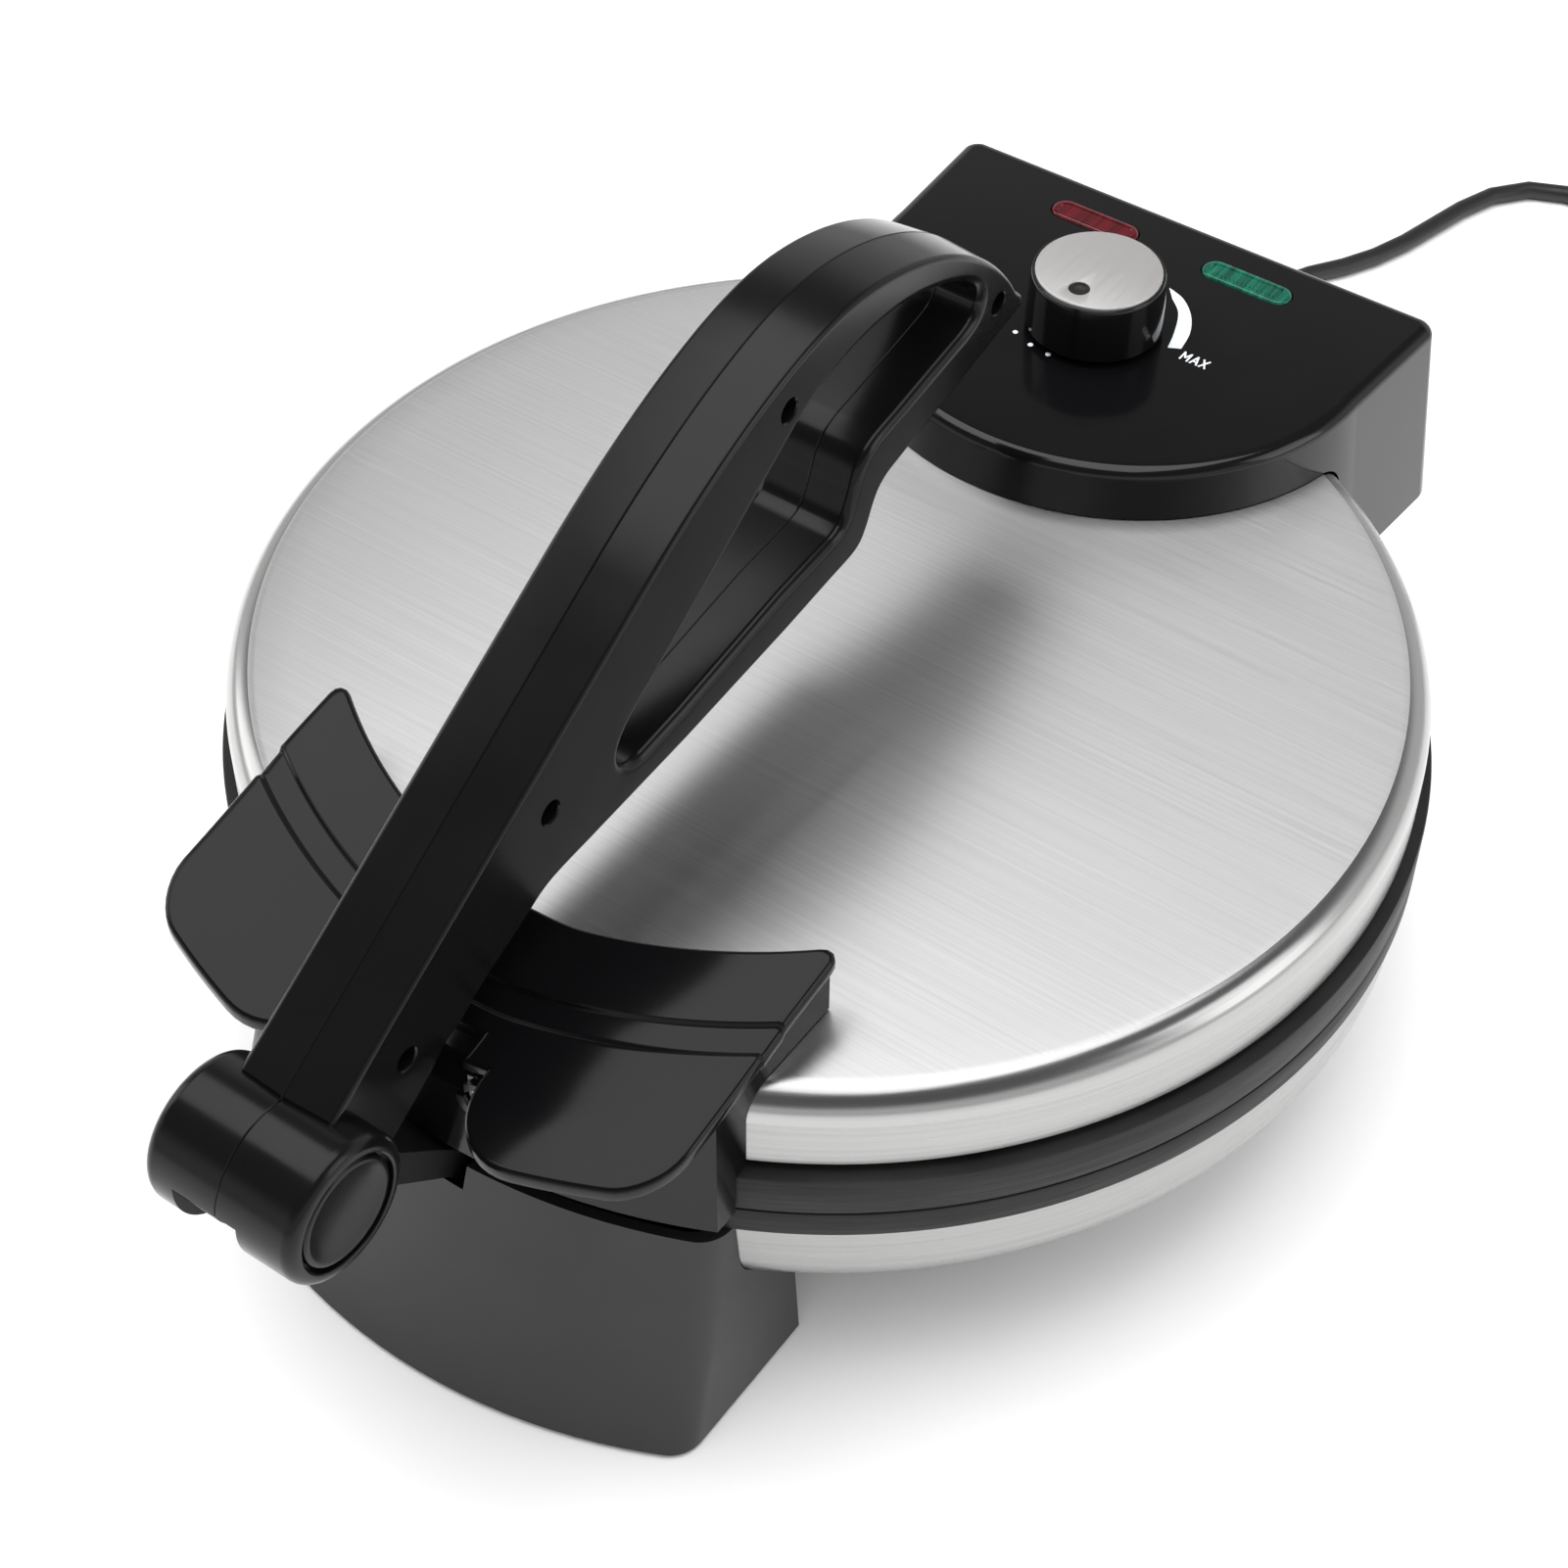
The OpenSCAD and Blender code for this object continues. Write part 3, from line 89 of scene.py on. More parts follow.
# Materials
def newMaterial(name, colour, roughness, metallic=0.0, **sockets):
    material = bpy.data.materials.new(name)
    material.use_nodes = True
    shader = material.node_tree.nodes["Principled BSDF"]
    shader.inputs["Base Color"].default_value = (*colour, 1)
    shader.inputs["Roughness"].default_value = roughness
    shader.inputs["Metallic"].default_value = metallic
    for socket, value in sockets.items():
        shader.inputs[socket.replace("_", " ")].default_value = value
    material.diffuse_color = (*colour, 1)
    return material


def addNode(material, kind, **values):
    node = material.node_tree.nodes.new(kind)
    for name, value in values.items():
        if name in node.inputs:
            node.inputs[name].default_value = value
        else:
            setattr(node, name, value)
    return node


def join(material, source, target):
    material.node_tree.links.new(source, target)


def grain(material, scale, detail=3.0, roughness=0.5):
    # noise on object coordinates, stretched by one scale for each axis
    where = addNode(material, "ShaderNodeTexCoord")
    mapping = addNode(material, "ShaderNodeMapping", Scale=scale)
    noise = addNode(material, "ShaderNodeTexNoise", Scale=1.0, Detail=detail, Roughness=roughness)
    join(material, where.outputs["Object"], mapping.inputs["Vector"])
    join(material, mapping.outputs["Vector"], noise.inputs["Vector"])
    return noise.outputs["Fac"]


def spread(material, value, low, high, fromLow=0.3, fromHigh=0.7):
    fit = addNode(material, "ShaderNodeMapRange")
    fit.inputs["From Min"].default_value = fromLow
    fit.inputs["From Max"].default_value = fromHigh
    fit.inputs["To Min"].default_value = low
    fit.inputs["To Max"].default_value = high
    join(material, value, fit.inputs["Value"])
    return fit.outputs["Result"]


def tint(material, value, dark, light):
    ramp = addNode(material, "ShaderNodeValToRGB")
    ramp.color_ramp.elements[0].position = 0.3
    ramp.color_ramp.elements[0].color = (*dark, 1)
    ramp.color_ramp.elements[1].position = 0.7
    ramp.color_ramp.elements[1].color = (*light, 1)
    join(material, value, ramp.inputs["Fac"])
    return ramp.outputs["Color"]


def bump(material, value, distance):
    node = addNode(material, "ShaderNodeBump", Strength=1.0, Distance=distance)
    join(material, value, node.inputs["Height"])
    return node.outputs["Normal"]


def shaderOf(material):
    return material.node_tree.nodes["Principled BSDF"]


steelLook = {
    "lineScale": (26.0, 3600.0),  # along the lines and across them
    "streakScale": (9.0, 1100.0),
    "lineHeight": 0.000004,
    # name: axis across the lines, lowest and highest roughness, anisotropy, dark and light colour
    "kinds": {
        "brushedSteel": (1, 0.34, 0.41, 0.82, (0.665, 0.66, 0.66), (0.75, 0.745, 0.745)),
        # the shoulder and side kinds are darker copies of the top's steel: painted shade on one sheet
        "shadedShoulderSteel": (2, 0.2, 0.26, 0.35, (0.42, 0.417, 0.415), (0.46, 0.457, 0.455)),
        "shadedSideSteel": (2, 0.26, 0.34, 0.35, (0.4, 0.397, 0.395), (0.46, 0.457, 0.455)),
    },
}


def brushedSteel(name):
    look = steelLook
    axis, low, high, anisotropy, dark, light = look["kinds"][name]
    material = newMaterial(name, dark, 0.3, 1.0, Anisotropic=anisotropy)
    shader = shaderOf(material)
    lines = grain(material, [look["lineScale"][i == axis] for i in range(3)], 2.0)
    streaks = grain(material, [look["streakScale"][i == axis] for i in range(3)], 4.0)
    join(material, spread(material, lines, low, high), shader.inputs["Roughness"])
    join(material, tint(material, streaks, dark, light), shader.inputs["Base Color"])
    join(material, bump(material, lines, look["lineHeight"]), shader.inputs["Normal"])
    along = addNode(material, "ShaderNodeCombineXYZ", Y=1.0)
    join(material, along.outputs["Vector"], shader.inputs["Tangent"])
    return material


plasticLook = {
    # name: colour, lowest and highest roughness, mirror strength, height of the fine grain
    "housing": ((0.0035, 0.0035, 0.004), (0.1, 0.15), 0.5, 0.000002),
    "lever": ((0.004, 0.004, 0.0045), (0.17, 0.23), 0.3, 0.000003),
    "grip": ((0.0035, 0.0035, 0.004), (0.13, 0.18), 0.27, 0.000003),
    "base": ((0.014, 0.014, 0.0155), (0.32, 0.42), 0.55, 0.000008),
    "inner": ((0.01, 0.01, 0.011), (0.42, 0.55), 0.4, 0.00001),
}


def mouldedPlastic(kind):
    colour, rough, mirror, height = plasticLook[kind]
    material = newMaterial(kind + "Plastic", colour, rough[0], 0.0, IOR=1.45, Specular_IOR_Level=mirror)
    shader = shaderOf(material)
    clouds = grain(material, (38.0, 38.0, 38.0), 4.0)
    skin = grain(material, (1500.0, 1500.0, 1500.0), 2.0)
    join(material, spread(material, clouds, *rough), shader.inputs["Roughness"])
    join(material, bump(material, skin, height), shader.inputs["Normal"])
    return material


plateLook = {
    "colour": (0.008, 0.008, 0.008),
    "dark": (0.005, 0.005, 0.005),
    "light": (0.017, 0.0165, 0.016),
    "rough": (0.42, 0.6),
    "mirror": 0.28,
    "crustScale": (34.0, 34.0, 1500.0),
    "patchScale": (30.0, 30.0, 260.0),
    "crustHeight": 0.00006,
}


def castPlate():
    look = plateLook
    material = newMaterial("castPlate", look["colour"], 0.5, 0.0, Specular_IOR_Level=look["mirror"])
    shader = shaderOf(material)
    crust = grain(material, look["crustScale"], 5.0, 0.6)
    patches = grain(material, look["patchScale"], 4.0)
    join(material, tint(material, patches, look["dark"], look["light"]), shader.inputs["Base Color"])
    join(material, spread(material, crust, *look["rough"]), shader.inputs["Roughness"])
    join(material, bump(material, crust, look["crustHeight"]), shader.inputs["Normal"])
    return material


def plainMetal(name, colour, rough, scale=(700.0, 700.0, 700.0)):
    material = newMaterial(name, colour, rough[0], 1.0)
    shader = shaderOf(material)
    marks = grain(material, scale, 3.0)
    join(material, spread(material, marks, *rough), shader.inputs["Roughness"])
    join(material, bump(material, marks, 0.000006), shader.inputs["Normal"])
    return material


def softRubber(name, colour, rough):
    material = newMaterial(name, colour, rough[0])
    shader = shaderOf(material)
    skin = grain(material, (900.0, 900.0, 900.0), 3.0)
    join(material, spread(material, skin, *rough), shader.inputs["Roughness"])
    join(material, bump(material, skin, 0.00002), shader.inputs["Normal"])
    return material


def lensPlastic(name, dark, light):
    material = newMaterial(name, dark, 0.08, 0.0, IOR=1.49)
    shader = shaderOf(material)
    shader.inputs["Transmission Weight"].default_value = 0.35
    depth = grain(material, (700.0, 60.0, 60.0), 2.0)
    # the colour goes darker and lighter in fine stripes across x
    join(material, tint(material, depth, dark, light), shader.inputs["Base Color"])
    return material


def flatPaint():
    material = newMaterial("dialPaint", (0.78, 0.82, 0.86), 0.5)
    shader = shaderOf(material)
    wear = grain(material, (800.0, 800.0, 800.0), 2.0)
    join(material, tint(material, wear, (0.7, 0.74, 0.78), (0.82, 0.85, 0.88)), shader.inputs["Base Color"])
    return material


looks = {
    "steel": brushedSteel("brushedSteel"),
    # darker copies of the lid's steel for its shoulder and side: painted shade
    "shadedShoulder": brushedSteel("shadedShoulderSteel"),
    "side": brushedSteel("shadedSideSteel"),
    "housing": mouldedPlastic("housing"),
    "lever": mouldedPlastic("lever"),
    "grip": mouldedPlastic("grip"),
    "base": mouldedPlastic("base"),
    "inner": mouldedPlastic("inner"),
    "rim": castPlate(),
    "sheath": plainMetal("elementSheath", (0.2, 0.2, 0.2), (0.4, 0.55)),
    "plated": plainMetal("platedSteel", (0.55, 0.55, 0.56), (0.28, 0.4)),
    "screw": plainMetal("screwSteel", (0.5, 0.5, 0.52), (0.2, 0.35)),
    "brass": plainMetal("bushBrass", (0.62, 0.45, 0.16), (0.3, 0.4)),
    "disc": plainMetal("knobDisc", (0.7, 0.69, 0.68), (0.5, 0.6), (2400.0, 40.0, 900.0)),
    "cord": softRubber("cordRubber", (0.01, 0.01, 0.011), (0.36, 0.5)),
    "foot": softRubber("footRubber", (0.03, 0.03, 0.03), (0.6, 0.8)),
    "ceramic": softRubber("ceramicBody", (0.72, 0.7, 0.64), (0.4, 0.6)),
    "red": lensPlastic("redLens", (0.06, 0.003, 0.006), (0.15, 0.006, 0.012)),
    "green": lensPlastic("greenLens", (0.003, 0.07, 0.045), (0.008, 0.2, 0.12)),
    "lamp": lensPlastic("lampGlass", (0.7, 0.35, 0.12), (0.85, 0.5, 0.2)),
    "paint": flatPaint(),
}
print("materials made")


# Mesh helpers: all sizes in millimetres from the lid's axis, turned to metres here
weld = 0.000002  # points closer than this are one
flat = math.radians(0.5)  # faces closer to level than this are one


def toMetres(point):
    return (point[0] * mm, point[1] * mm + plateY, point[2] * mm)


def makeMesh(name, points, faces):
    mesh = bpy.data.meshes.new(name)
    mesh.from_pydata([toMetres(p) for p in points], [], faces)
    mesh.validate()
    mesh.update()
    return mesh


def makeObject(name, mesh):
    piece = bpy.data.objects.new(name, mesh)
    bpy.context.scene.collection.objects.link(piece)
    return piece


def tidyNormals(mesh):
    work = bmesh.new()
    work.from_mesh(mesh)
    bmesh.ops.remove_doubles(work, verts=work.verts, dist=weld)
    bmesh.ops.recalc_face_normals(work, faces=work.faces)
    work.to_mesh(mesh)
    work.free()


def smoothed(mesh, angle=35):
    mesh.shade_smooth()
    mesh.set_sharp_from_angle(angle=math.radians(angle))


def evenNormals(piece, angle=35):
    # smooth shading that keeps large flat faces flat
    smoothed(piece.data, angle)
    weigh = piece.modifiers.new("weigh", "WEIGHTED_NORMAL")
    weigh.keep_sharp = True
    weigh.weight = 100
    applied(piece)


def applied(piece):
    # the piece with its modifiers worked into a plain mesh
    bpy.context.view_layer.update()
    depsgraph = bpy.context.evaluated_depsgraph_get()
    mesh = bpy.data.meshes.new_from_object(piece.evaluated_get(depsgraph))
    piece.modifiers.clear()
    piece.data = mesh
    return piece


def beveled(piece, width, segments=2, angle=32):
    bevel = piece.modifiers.new("edges", "BEVEL")
    bevel.width = width * mm
    bevel.segments = segments
    bevel.limit_method = "ANGLE"
    bevel.angle_limit = math.radians(angle)
    bevel.miter_outer = "MITER_ARC"
    return applied(piece)


def cutBy(piece, tools):
    for tool in tools:
        cut = piece.modifiers.new("cut", "BOOLEAN")
        cut.operation = "DIFFERENCE"
        cut.solver = "EXACT"
        cut.object = tool
        applied(piece)
        bpy.data.objects.remove(tool)
    return piece


def finished(piece, look, body, slot, *nodes):
    piece.data.materials.clear()
    piece.data.materials.append(looks[look])
    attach(piece, body)
    if nodes:
        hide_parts(*nodes)
    return piece


def merged(name, pieces):
    # several pieces joined to one mesh, each keeping its own closed shell
    work = bmesh.new()
    for piece in pieces:
        work.from_mesh(piece.data)
        bpy.data.objects.remove(piece)
    mesh = bpy.data.meshes.new(name)
    work.to_mesh(mesh)
    work.free()
    return makeObject(name, mesh)


def lathe(name, profile, steps, axis="z", centre=(0, 0, 0)):
    # profile: (radius, height) pairs; ends on the axis close to a point
    points, faces, rows = [], [], []
    for radius, height in profile:
        row = []
        for i in range(1 if radius < 1e-6 else steps):
            angle = 2 * math.pi * i / steps
            u, v = radius * math.cos(angle), radius * math.sin(angle)
            offset = (u, v, height) if axis == "z" else (height, u, v) if axis == "x" else (v, height, u)
            row.append(len(points))
            points.append(tuple(c + o for c, o in zip(centre, offset)))
        rows.append(row)
    for low, high in zip(rows, rows[1:]):
        for i in range(steps):
            j = (i + 1) % steps
            corners = [low[i % len(low)], low[j % len(low)], high[j % len(high)], high[i % len(high)]]
            corners = list(dict.fromkeys(corners))
            if len(corners) > 2:
                faces.append(corners)
    mesh = makeMesh(name, points, faces)
    tidyNormals(mesh)
    return makeObject(name, mesh)


def drum(name, radius, low, high, steps, axis="z", centre=(0, 0, 0)):
    return lathe(name, [(0, low), (radius, low), (radius, high), (0, high)], steps, axis, centre)


def arc(cx, cy, radius, start, end, steps):
    angles = [math.radians(start + (end - start) * i / steps) for i in range(steps + 1)]
    return [(cx + radius * math.cos(angle), cy + radius * math.sin(angle)) for angle in angles]


def bezier(a, b, c, d, steps):
    out = []
    for i in range(1, steps + 1):
        t = i / steps
        s = 1 - t
        out.append(tuple(s ** 3 * p + 3 * s * s * t * q + 3 * s * t * t * r + t ** 3 * w
                         for p, q, r, w in zip(a, b, c, d)))
    return out


def prism(name, outline, low, high, holes=(), place=lambda u, v, w: (u, v, w)):
    # a flat outline, with holes, drawn out along w
    work = bmesh.new()
    for loop in [outline, *holes]:
        verts = [work.verts.new(toMetres(place(u, v, low))) for u, v in loop]
        for a, b in zip(verts, verts[1:] + verts[:1]):
            work.edges.new((a, b))
    bmesh.ops.triangle_fill(work, edges=work.edges, use_beauty=True)
    raised = bmesh.ops.extrude_face_region(work, geom=work.faces[:])
    base, top = Vector(toMetres(place(0, 0, low))), Vector(toMetres(place(0, 0, high)))
    corners = [item for item in raised["geom"] if isinstance(item, bmesh.types.BMVert)]
    bmesh.ops.translate(work, vec=top - base, verts=corners)
    bmesh.ops.dissolve_limit(work, angle_limit=flat, verts=work.verts, edges=work.edges)
    bmesh.ops.recalc_face_normals(work, faces=work.faces)
    mesh = bpy.data.meshes.new(name)
    work.to_mesh(mesh)
    work.free()
    return makeObject(name, mesh)


def loft(name, loops):
    # closed loops of equal length, one above the other, capped at both ends
    points, faces, n = [], [], len(loops[0])
    for loop in loops:
        points.extend(loop)
    for k in range(len(loops) - 1):
        for i in range(n):
            j = (i + 1) % n
            faces.append([k * n + i, k * n + j, (k + 1) * n + j, (k + 1) * n + i])
    faces.append(list(range(n))[::-1])
    faces.append([(len(loops) - 1) * n + i for i in range(n)])
    mesh = makeMesh(name, points, faces)
    tidyNormals(mesh)
    return makeObject(name, mesh)


def nodeCopy(node):
    mesh = frame["nodes"][node].data.copy()
    work = bmesh.new()
    work.from_mesh(mesh)
    bmesh.ops.remove_doubles(work, verts=work.verts, dist=weld)
    bmesh.ops.dissolve_limit(work, angle_limit=flat, verts=work.verts, edges=work.edges)
    work.to_mesh(mesh)
    work.free()
    return makeObject(node + "_dressed", mesh)


def dressedNode(node, look, edge):
    # the construction's own shape, with its edges rounded
    piece = nodeCopy(node)
    beveled(piece, edge, 2, 30)
    evenNormals(piece, 40)
    return finished(piece, look, bodyOf[node], slotOf[node], node)


bodyOf = {node: body for body, nodes in frame["record"]["behaviour"]["bodies"].items() for node in nodes}
slotOf = {entry["node"]: entry["material_slot"] for entry in frame["record"]["subparts"]}


# Cord: one unbroken route from the strain relief to the plug, wound up behind the object
cordSizes = {
    "diameter": 6.0,
    "lie": 3.05,
    "coilX": 66.0,
    "coilY": 464.0,
    "coilRadius": 38.0,
    "coilPitch": 6.6,
    "coilLoops": 4,
    "coilSteps": 24,
    "plugX": 106.0,
    "plugRadius": 18.5,
}


def cordPath():
    s = cordSizes
    lie, runY = s["lie"], s["coilY"] - s["coilRadius"]
    route = [(-28, 198, 16), (-28, 206, 15.7), (-29, 218, 13.4), (-31, 232, 9), (-33.5, 246, 5),
             (-35.5, 260, lie), (-37, 275, lie), (-37.6, 290, lie), (-36.8, 304, lie), (-33.8, 319, lie),
             (-28, 331, lie), (-20.8, 341.5, lie), (-14.8, 353, lie), (-10.2, 366, lie), (-6.8, 380, lie),
             (-3.2, 395, lie), (2, 409, lie), (11, 420, lie), (23, 425.4, lie), (37, runY, lie),
             (50, runY, lie), (s["coilX"] - s["diameter"], runY, lie)]
    half = s["coilLoops"] / 2
    for i in range(s["coilLoops"] * s["coilSteps"] + 1):
        t = i / s["coilSteps"]
        angle = math.radians(-90 + 360 * t)
        radius = s["coilRadius"] - s["coilPitch"] * min(t, s["coilLoops"] - t)
        climb = min(max((t - half) / 0.5 + 0.5, 0), 1)
        rise = s["coilPitch"] * climb * climb * (3 - 2 * climb)
        x, y = s["coilX"] + radius * math.cos(angle), s["coilY"] + radius * math.sin(angle)
        route.append((x, y, lie + rise))
    top = lie + s["coilPitch"]
    route += [(s["coilX"] + 6, runY, top), (s["coilX"] + 8, runY, top), (s["coilX"] + 14, runY, top + 0.8),
              (s["coilX"] + 22, runY, top + 3.8), (s["coilX"] + 30, runY, s["plugRadius"] - 1.6),
              (s["plugX"] - 5, runY, s["plugRadius"]), (s["plugX"], runY, s["plugRadius"])]
    return [Vector(toMetres(p)) for p in route]


def addCord():
    path = cordPath()
    curve = bpy.data.curves.new("mains_cord", "CURVE")
    curve.dimensions = "3D"
    curve.bevel_depth = cordSizes["diameter"] / 2 * mm
    curve.bevel_resolution = 5
    curve.resolution_u = 4
    curve.use_fill_caps = True
    spline = curve.splines.new("POLY")
    spline.points.add(len(path) - 1)
    for point, place in zip(spline.points, path):
        point.co = (*place, 1)
    spline.use_smooth = True
    cord = makeObject("mains_cord", curve)
    finished(cord, "cord", "base", "cord_rubber", "power_cord", "cord_coil", "cord_tail")
    plug = addPlug()


def addPlug():
    s = cordSizes
    centre = (s["plugX"], s["coilY"] - s["coilRadius"], s["plugRadius"])
    r = s["plugRadius"]
    profile = [(0, 0.2), (3.9, 0.2), (4.5, 0.9), (5.6, 8), (6.6, 14), (8.5, 19), (12.5, 24), (16.2, 27.2),
               (r - 0.7, 28.6), (r - 0.15, 29.6), (r - 0.15, 39.6), (r - 0.8, 40.7), (r - 2.2, 41), (0, 41)]
    body = lathe("plug_body", profile, 96, "x", centre)
    pins = []
    for side in (-1, 1):
        pin = [(0, 40), (2.4, 40), (2.4, 58), (1.9, 59.3), (1.1, 60), (0, 60)]
        pins.append(lathe("plug_pin", pin, 32, "x", (centre[0], centre[1] + side * 9.5, centre[2])))
    smoothed(body.data, 40)
    body.data.materials.append(looks["cord"])
    for pin in pins:
        smoothed(pin.data, 40)
    pinMesh = merged("plug_pins", pins)
    finished(pinMesh, "screw", "base", "screw_steel")
    finished(body, "cord", "base", "cord_rubber", "plug")
    pinMesh.parent = body
    return body


addCord()
print("cord laid")


# Steel lid and pan, turned from their sections
shaftY = 124.7  # the thermostat's shaft and the knob
lidSizes = {
    "radius": 150.0,
    "edge": 85.7,
    "top": 107.2,
    "shoulder": 8.0,
    "dome": 0.8,
    "sheet": 1.0,
    "lip": 0.3,
    "shaftHole": 17.0,
}
panSizes = {"radius": 151.4, "top": 63.0, "floor": 38.0, "corner": 12.0, "sheet": 1.0}


def lidProfile(grow=0.0, inner=False):
    s = lidSizes
    r = s["radius"] - s["shoulder"]
    back = s["sheet"] if inner else -grow
    top = [(r * i / 16, s["top"] + s["dome"] * (1 - (i / 16) ** 2) - back) for i in range(17)]
    bend = arc(r, s["top"] - s["shoulder"], s["shoulder"] - back, 90, 0, 14)
    return top + bend[1:]


def addLid():
    s = lidSizes
    outside = lidProfile()
    inside = lidProfile(inner=True)
    within = s["radius"] - s["sheet"]
    lip = [(s["radius"], s["edge"] + 0.35), (s["radius"] - s["lip"], s["edge"]),
           (within + s["lip"], s["edge"]), (within, s["edge"] + 0.35)]
    lid = lathe("steel_lid", outside + lip + inside[::-1], 320)
    cutBy(lid, [drum("hole", s["shaftHole"], 95, 120, 64, centre=(0, shaftY, 0))])
    smoothed(lid.data, 30)
    finished(lid, "steel", "lid", "brushed_steel", "lid_shell")
    # the shoulder and the side get the darker steel copies: painted shade
    for look in ("shadedShoulder", "side"):
        lid.data.materials.append(looks[look])
    for face in lid.data.polygons:  # the side and the shoulder shine in their own way, and their darker steel colour is painted shade
        height = face.center.z / mm
        if height < s["top"] - s["shoulder"] + 0.2:
            face.material_index = 2
        elif height < s["top"] - 0.15:
            face.material_index = 1


def addPan():
    s = panSizes
    r = s["radius"] - s["corner"]
    low = s["floor"] + s["corner"]
    outside = [(0, s["floor"])] + arc(r, low, s["corner"], -90, 0, 14)
    inside = [(0, s["floor"] + s["sheet"])] + arc(r, low, s["corner"] - s["sheet"], -90, 0, 14)
    rim = [(s["radius"], s["top"]), (s["radius"] - s["sheet"], s["top"])]
    pan = lathe("steel_pan", outside + rim + inside[::-1], 320)
    smoothed(pan.data, 30)
    # the pan takes the darker side steel: painted shade on its wall
    finished(pan, "side", "base", "brushed_steel", "lower_pan")


addLid()
addPan()
print("lid and pan turned")


# Hot plates with rounded rims
plateSizes = {
    "rim": 153.0,
    "inner": 139.0,
    "seam": 71.0,
    "low": 63.0,
    "upperSeam": 71.3,
    "upperTop": 83.0,
    "disc": 4.0,
    "dish": 0.6,
    "edge": 0.9,
    "edgeCut": 0.25,
}


def plateProfile(seam, back, way):
    # from the cooking face's middle over the rim to the back; way is -1 where the back is below
    s = plateSizes
    rim, inner, edge, cut = s["rim"], s["inner"], s["edge"], s["edgeCut"]
    face = seam + way * s["dish"]
    rounded = [(rim - edge, seam), (rim - cut, seam + way * cut), (rim, seam + way * edge),
               (rim, back - way * edge), (rim - cut, back - way * cut), (rim - edge, back)]
    return [(0, face), (inner + 6, face), (inner + 7, seam), *rounded, (inner, back),
            (inner, face + way * s["disc"]), (0, face + way * s["disc"])]


def addPlates():
    s = plateSizes
    for name, profile, body, node in (
            ("lower_hot_plate", plateProfile(s["seam"], s["low"], -1), "base", "lower_plate"),
            ("upper_hot_plate", plateProfile(s["upperSeam"], s["upperTop"], 1), "lid", "upper_plate")):
        plate = lathe(name, profile, 320)
        smoothed(plate.data, 25)
        finished(plate, "rim", body, "coated_plate", node)


addPlates()
print("plates turned")


# Control housing: levels that spread downwards, a rounded top edge and pockets for the lenses
housingSizes = {
    "halfWidth": 72.5,
    "arcY": 139.5,
    "rear": 181.0,
    "flare": 2.3,
    "corner": 5.0,
    "top": 122.8,
    "low": 67.0,
    "draft": 6.2,
    "wall": 2.6,
    "edge": 3.4,
    "lensX": 24.2,
    "lensY": 165.4,
    "lensLength": 27.0,
    "lensWidth": 8.2,
    "lensGap": 0.7,
    "lidGap": 0.4,
    "rimRoom": 154.2,
    "bore": 5.0,
}
ribSizes = {
    "count": 16,
    "pitch": 1.24,
    "first": -9.3,
    "halfWidth": 0.5,
    "halfLength": 1.9,
    "low": 0.4,
    "high": 0.02,
}


def housingLevel(grow, z):
    s = housingSizes
    wide, corner = s["halfWidth"] + grow, s["corner"] + grow
    cx, cy = s["halfWidth"] + s["flare"] - s["corner"], s["rear"] - s["corner"]
    loop = arc(0, s["arcY"], wide, 180, 360, 120)
    loop += arc(cx, cy, corner, 0, 90, 14) + arc(-cx, cy, corner, 90, 180, 14)
    return [(x, y, z) for x, y in loop]


def housingForm(name, inset, low, edge, steps):
    s = housingSizes
    height = s["top"] - inset - s["low"]
    loops = []
    for i in range(13):
        z = low + (s["top"] - inset - edge - low) * i / 12
        loops.append(housingLevel(s["draft"] * (s["top"] - z) / height - inset, z))
    start = s["draft"] * edge / height
    for i in range(1, steps + 1):
        a = math.radians(90 * i / steps)
        grow = start * (1 - i / steps) - edge * (1 - math.cos(a)) - inset
        loops.append(housingLevel(grow, s["top"] - inset - edge * (1 - math.sin(a))))
    return loft(name, loops)


def stadium(length, width, x, y, steps=20):
    half = (length - width) / 2
    return arc(x + half, y, width / 2, -90, 90, steps) + arc(x - half, y, width / 2, 90, 270, steps)


def addHousing():
    s = housingSizes
    shell = housingForm("control_housing_shell", 0, s["low"], s["edge"], 10)
    inner = housingForm("inner", s["wall"], s["low"] - 1, 1.5, 3)
    gap = s["lidGap"]
    grown = [(r + gap if r > 100 else r, z) for r, z in lidProfile(grow=gap)]
    lidRoom = lathe("lidRoom", grown + [(lidSizes["radius"] + gap, 84), (0, 84)], 320)
    rimRoom = drum("rimRoom", s["rimRoom"], 60, lidSizes["edge"], 320)
    pockets = []
    for side in (-1, 1):
        length, width = s["lensLength"] + s["lensGap"], s["lensWidth"] + s["lensGap"]
        hole = stadium(length, width, side * s["lensX"], s["lensY"])
        pockets.append(prism("pocket", hole, s["top"] - 8, s["top"] + 5))
    bore = drum("bore", s["bore"], 110, 130, 48, centre=(0, shaftY, 0))
    cutBy(shell, [inner, lidRoom, rimRoom, *pockets, bore])
    beveled(shell, 0.3, 2, 45)
    evenNormals(shell, 35)
    finished(shell, "housing", "lid", "black_plastic", "control_housing")


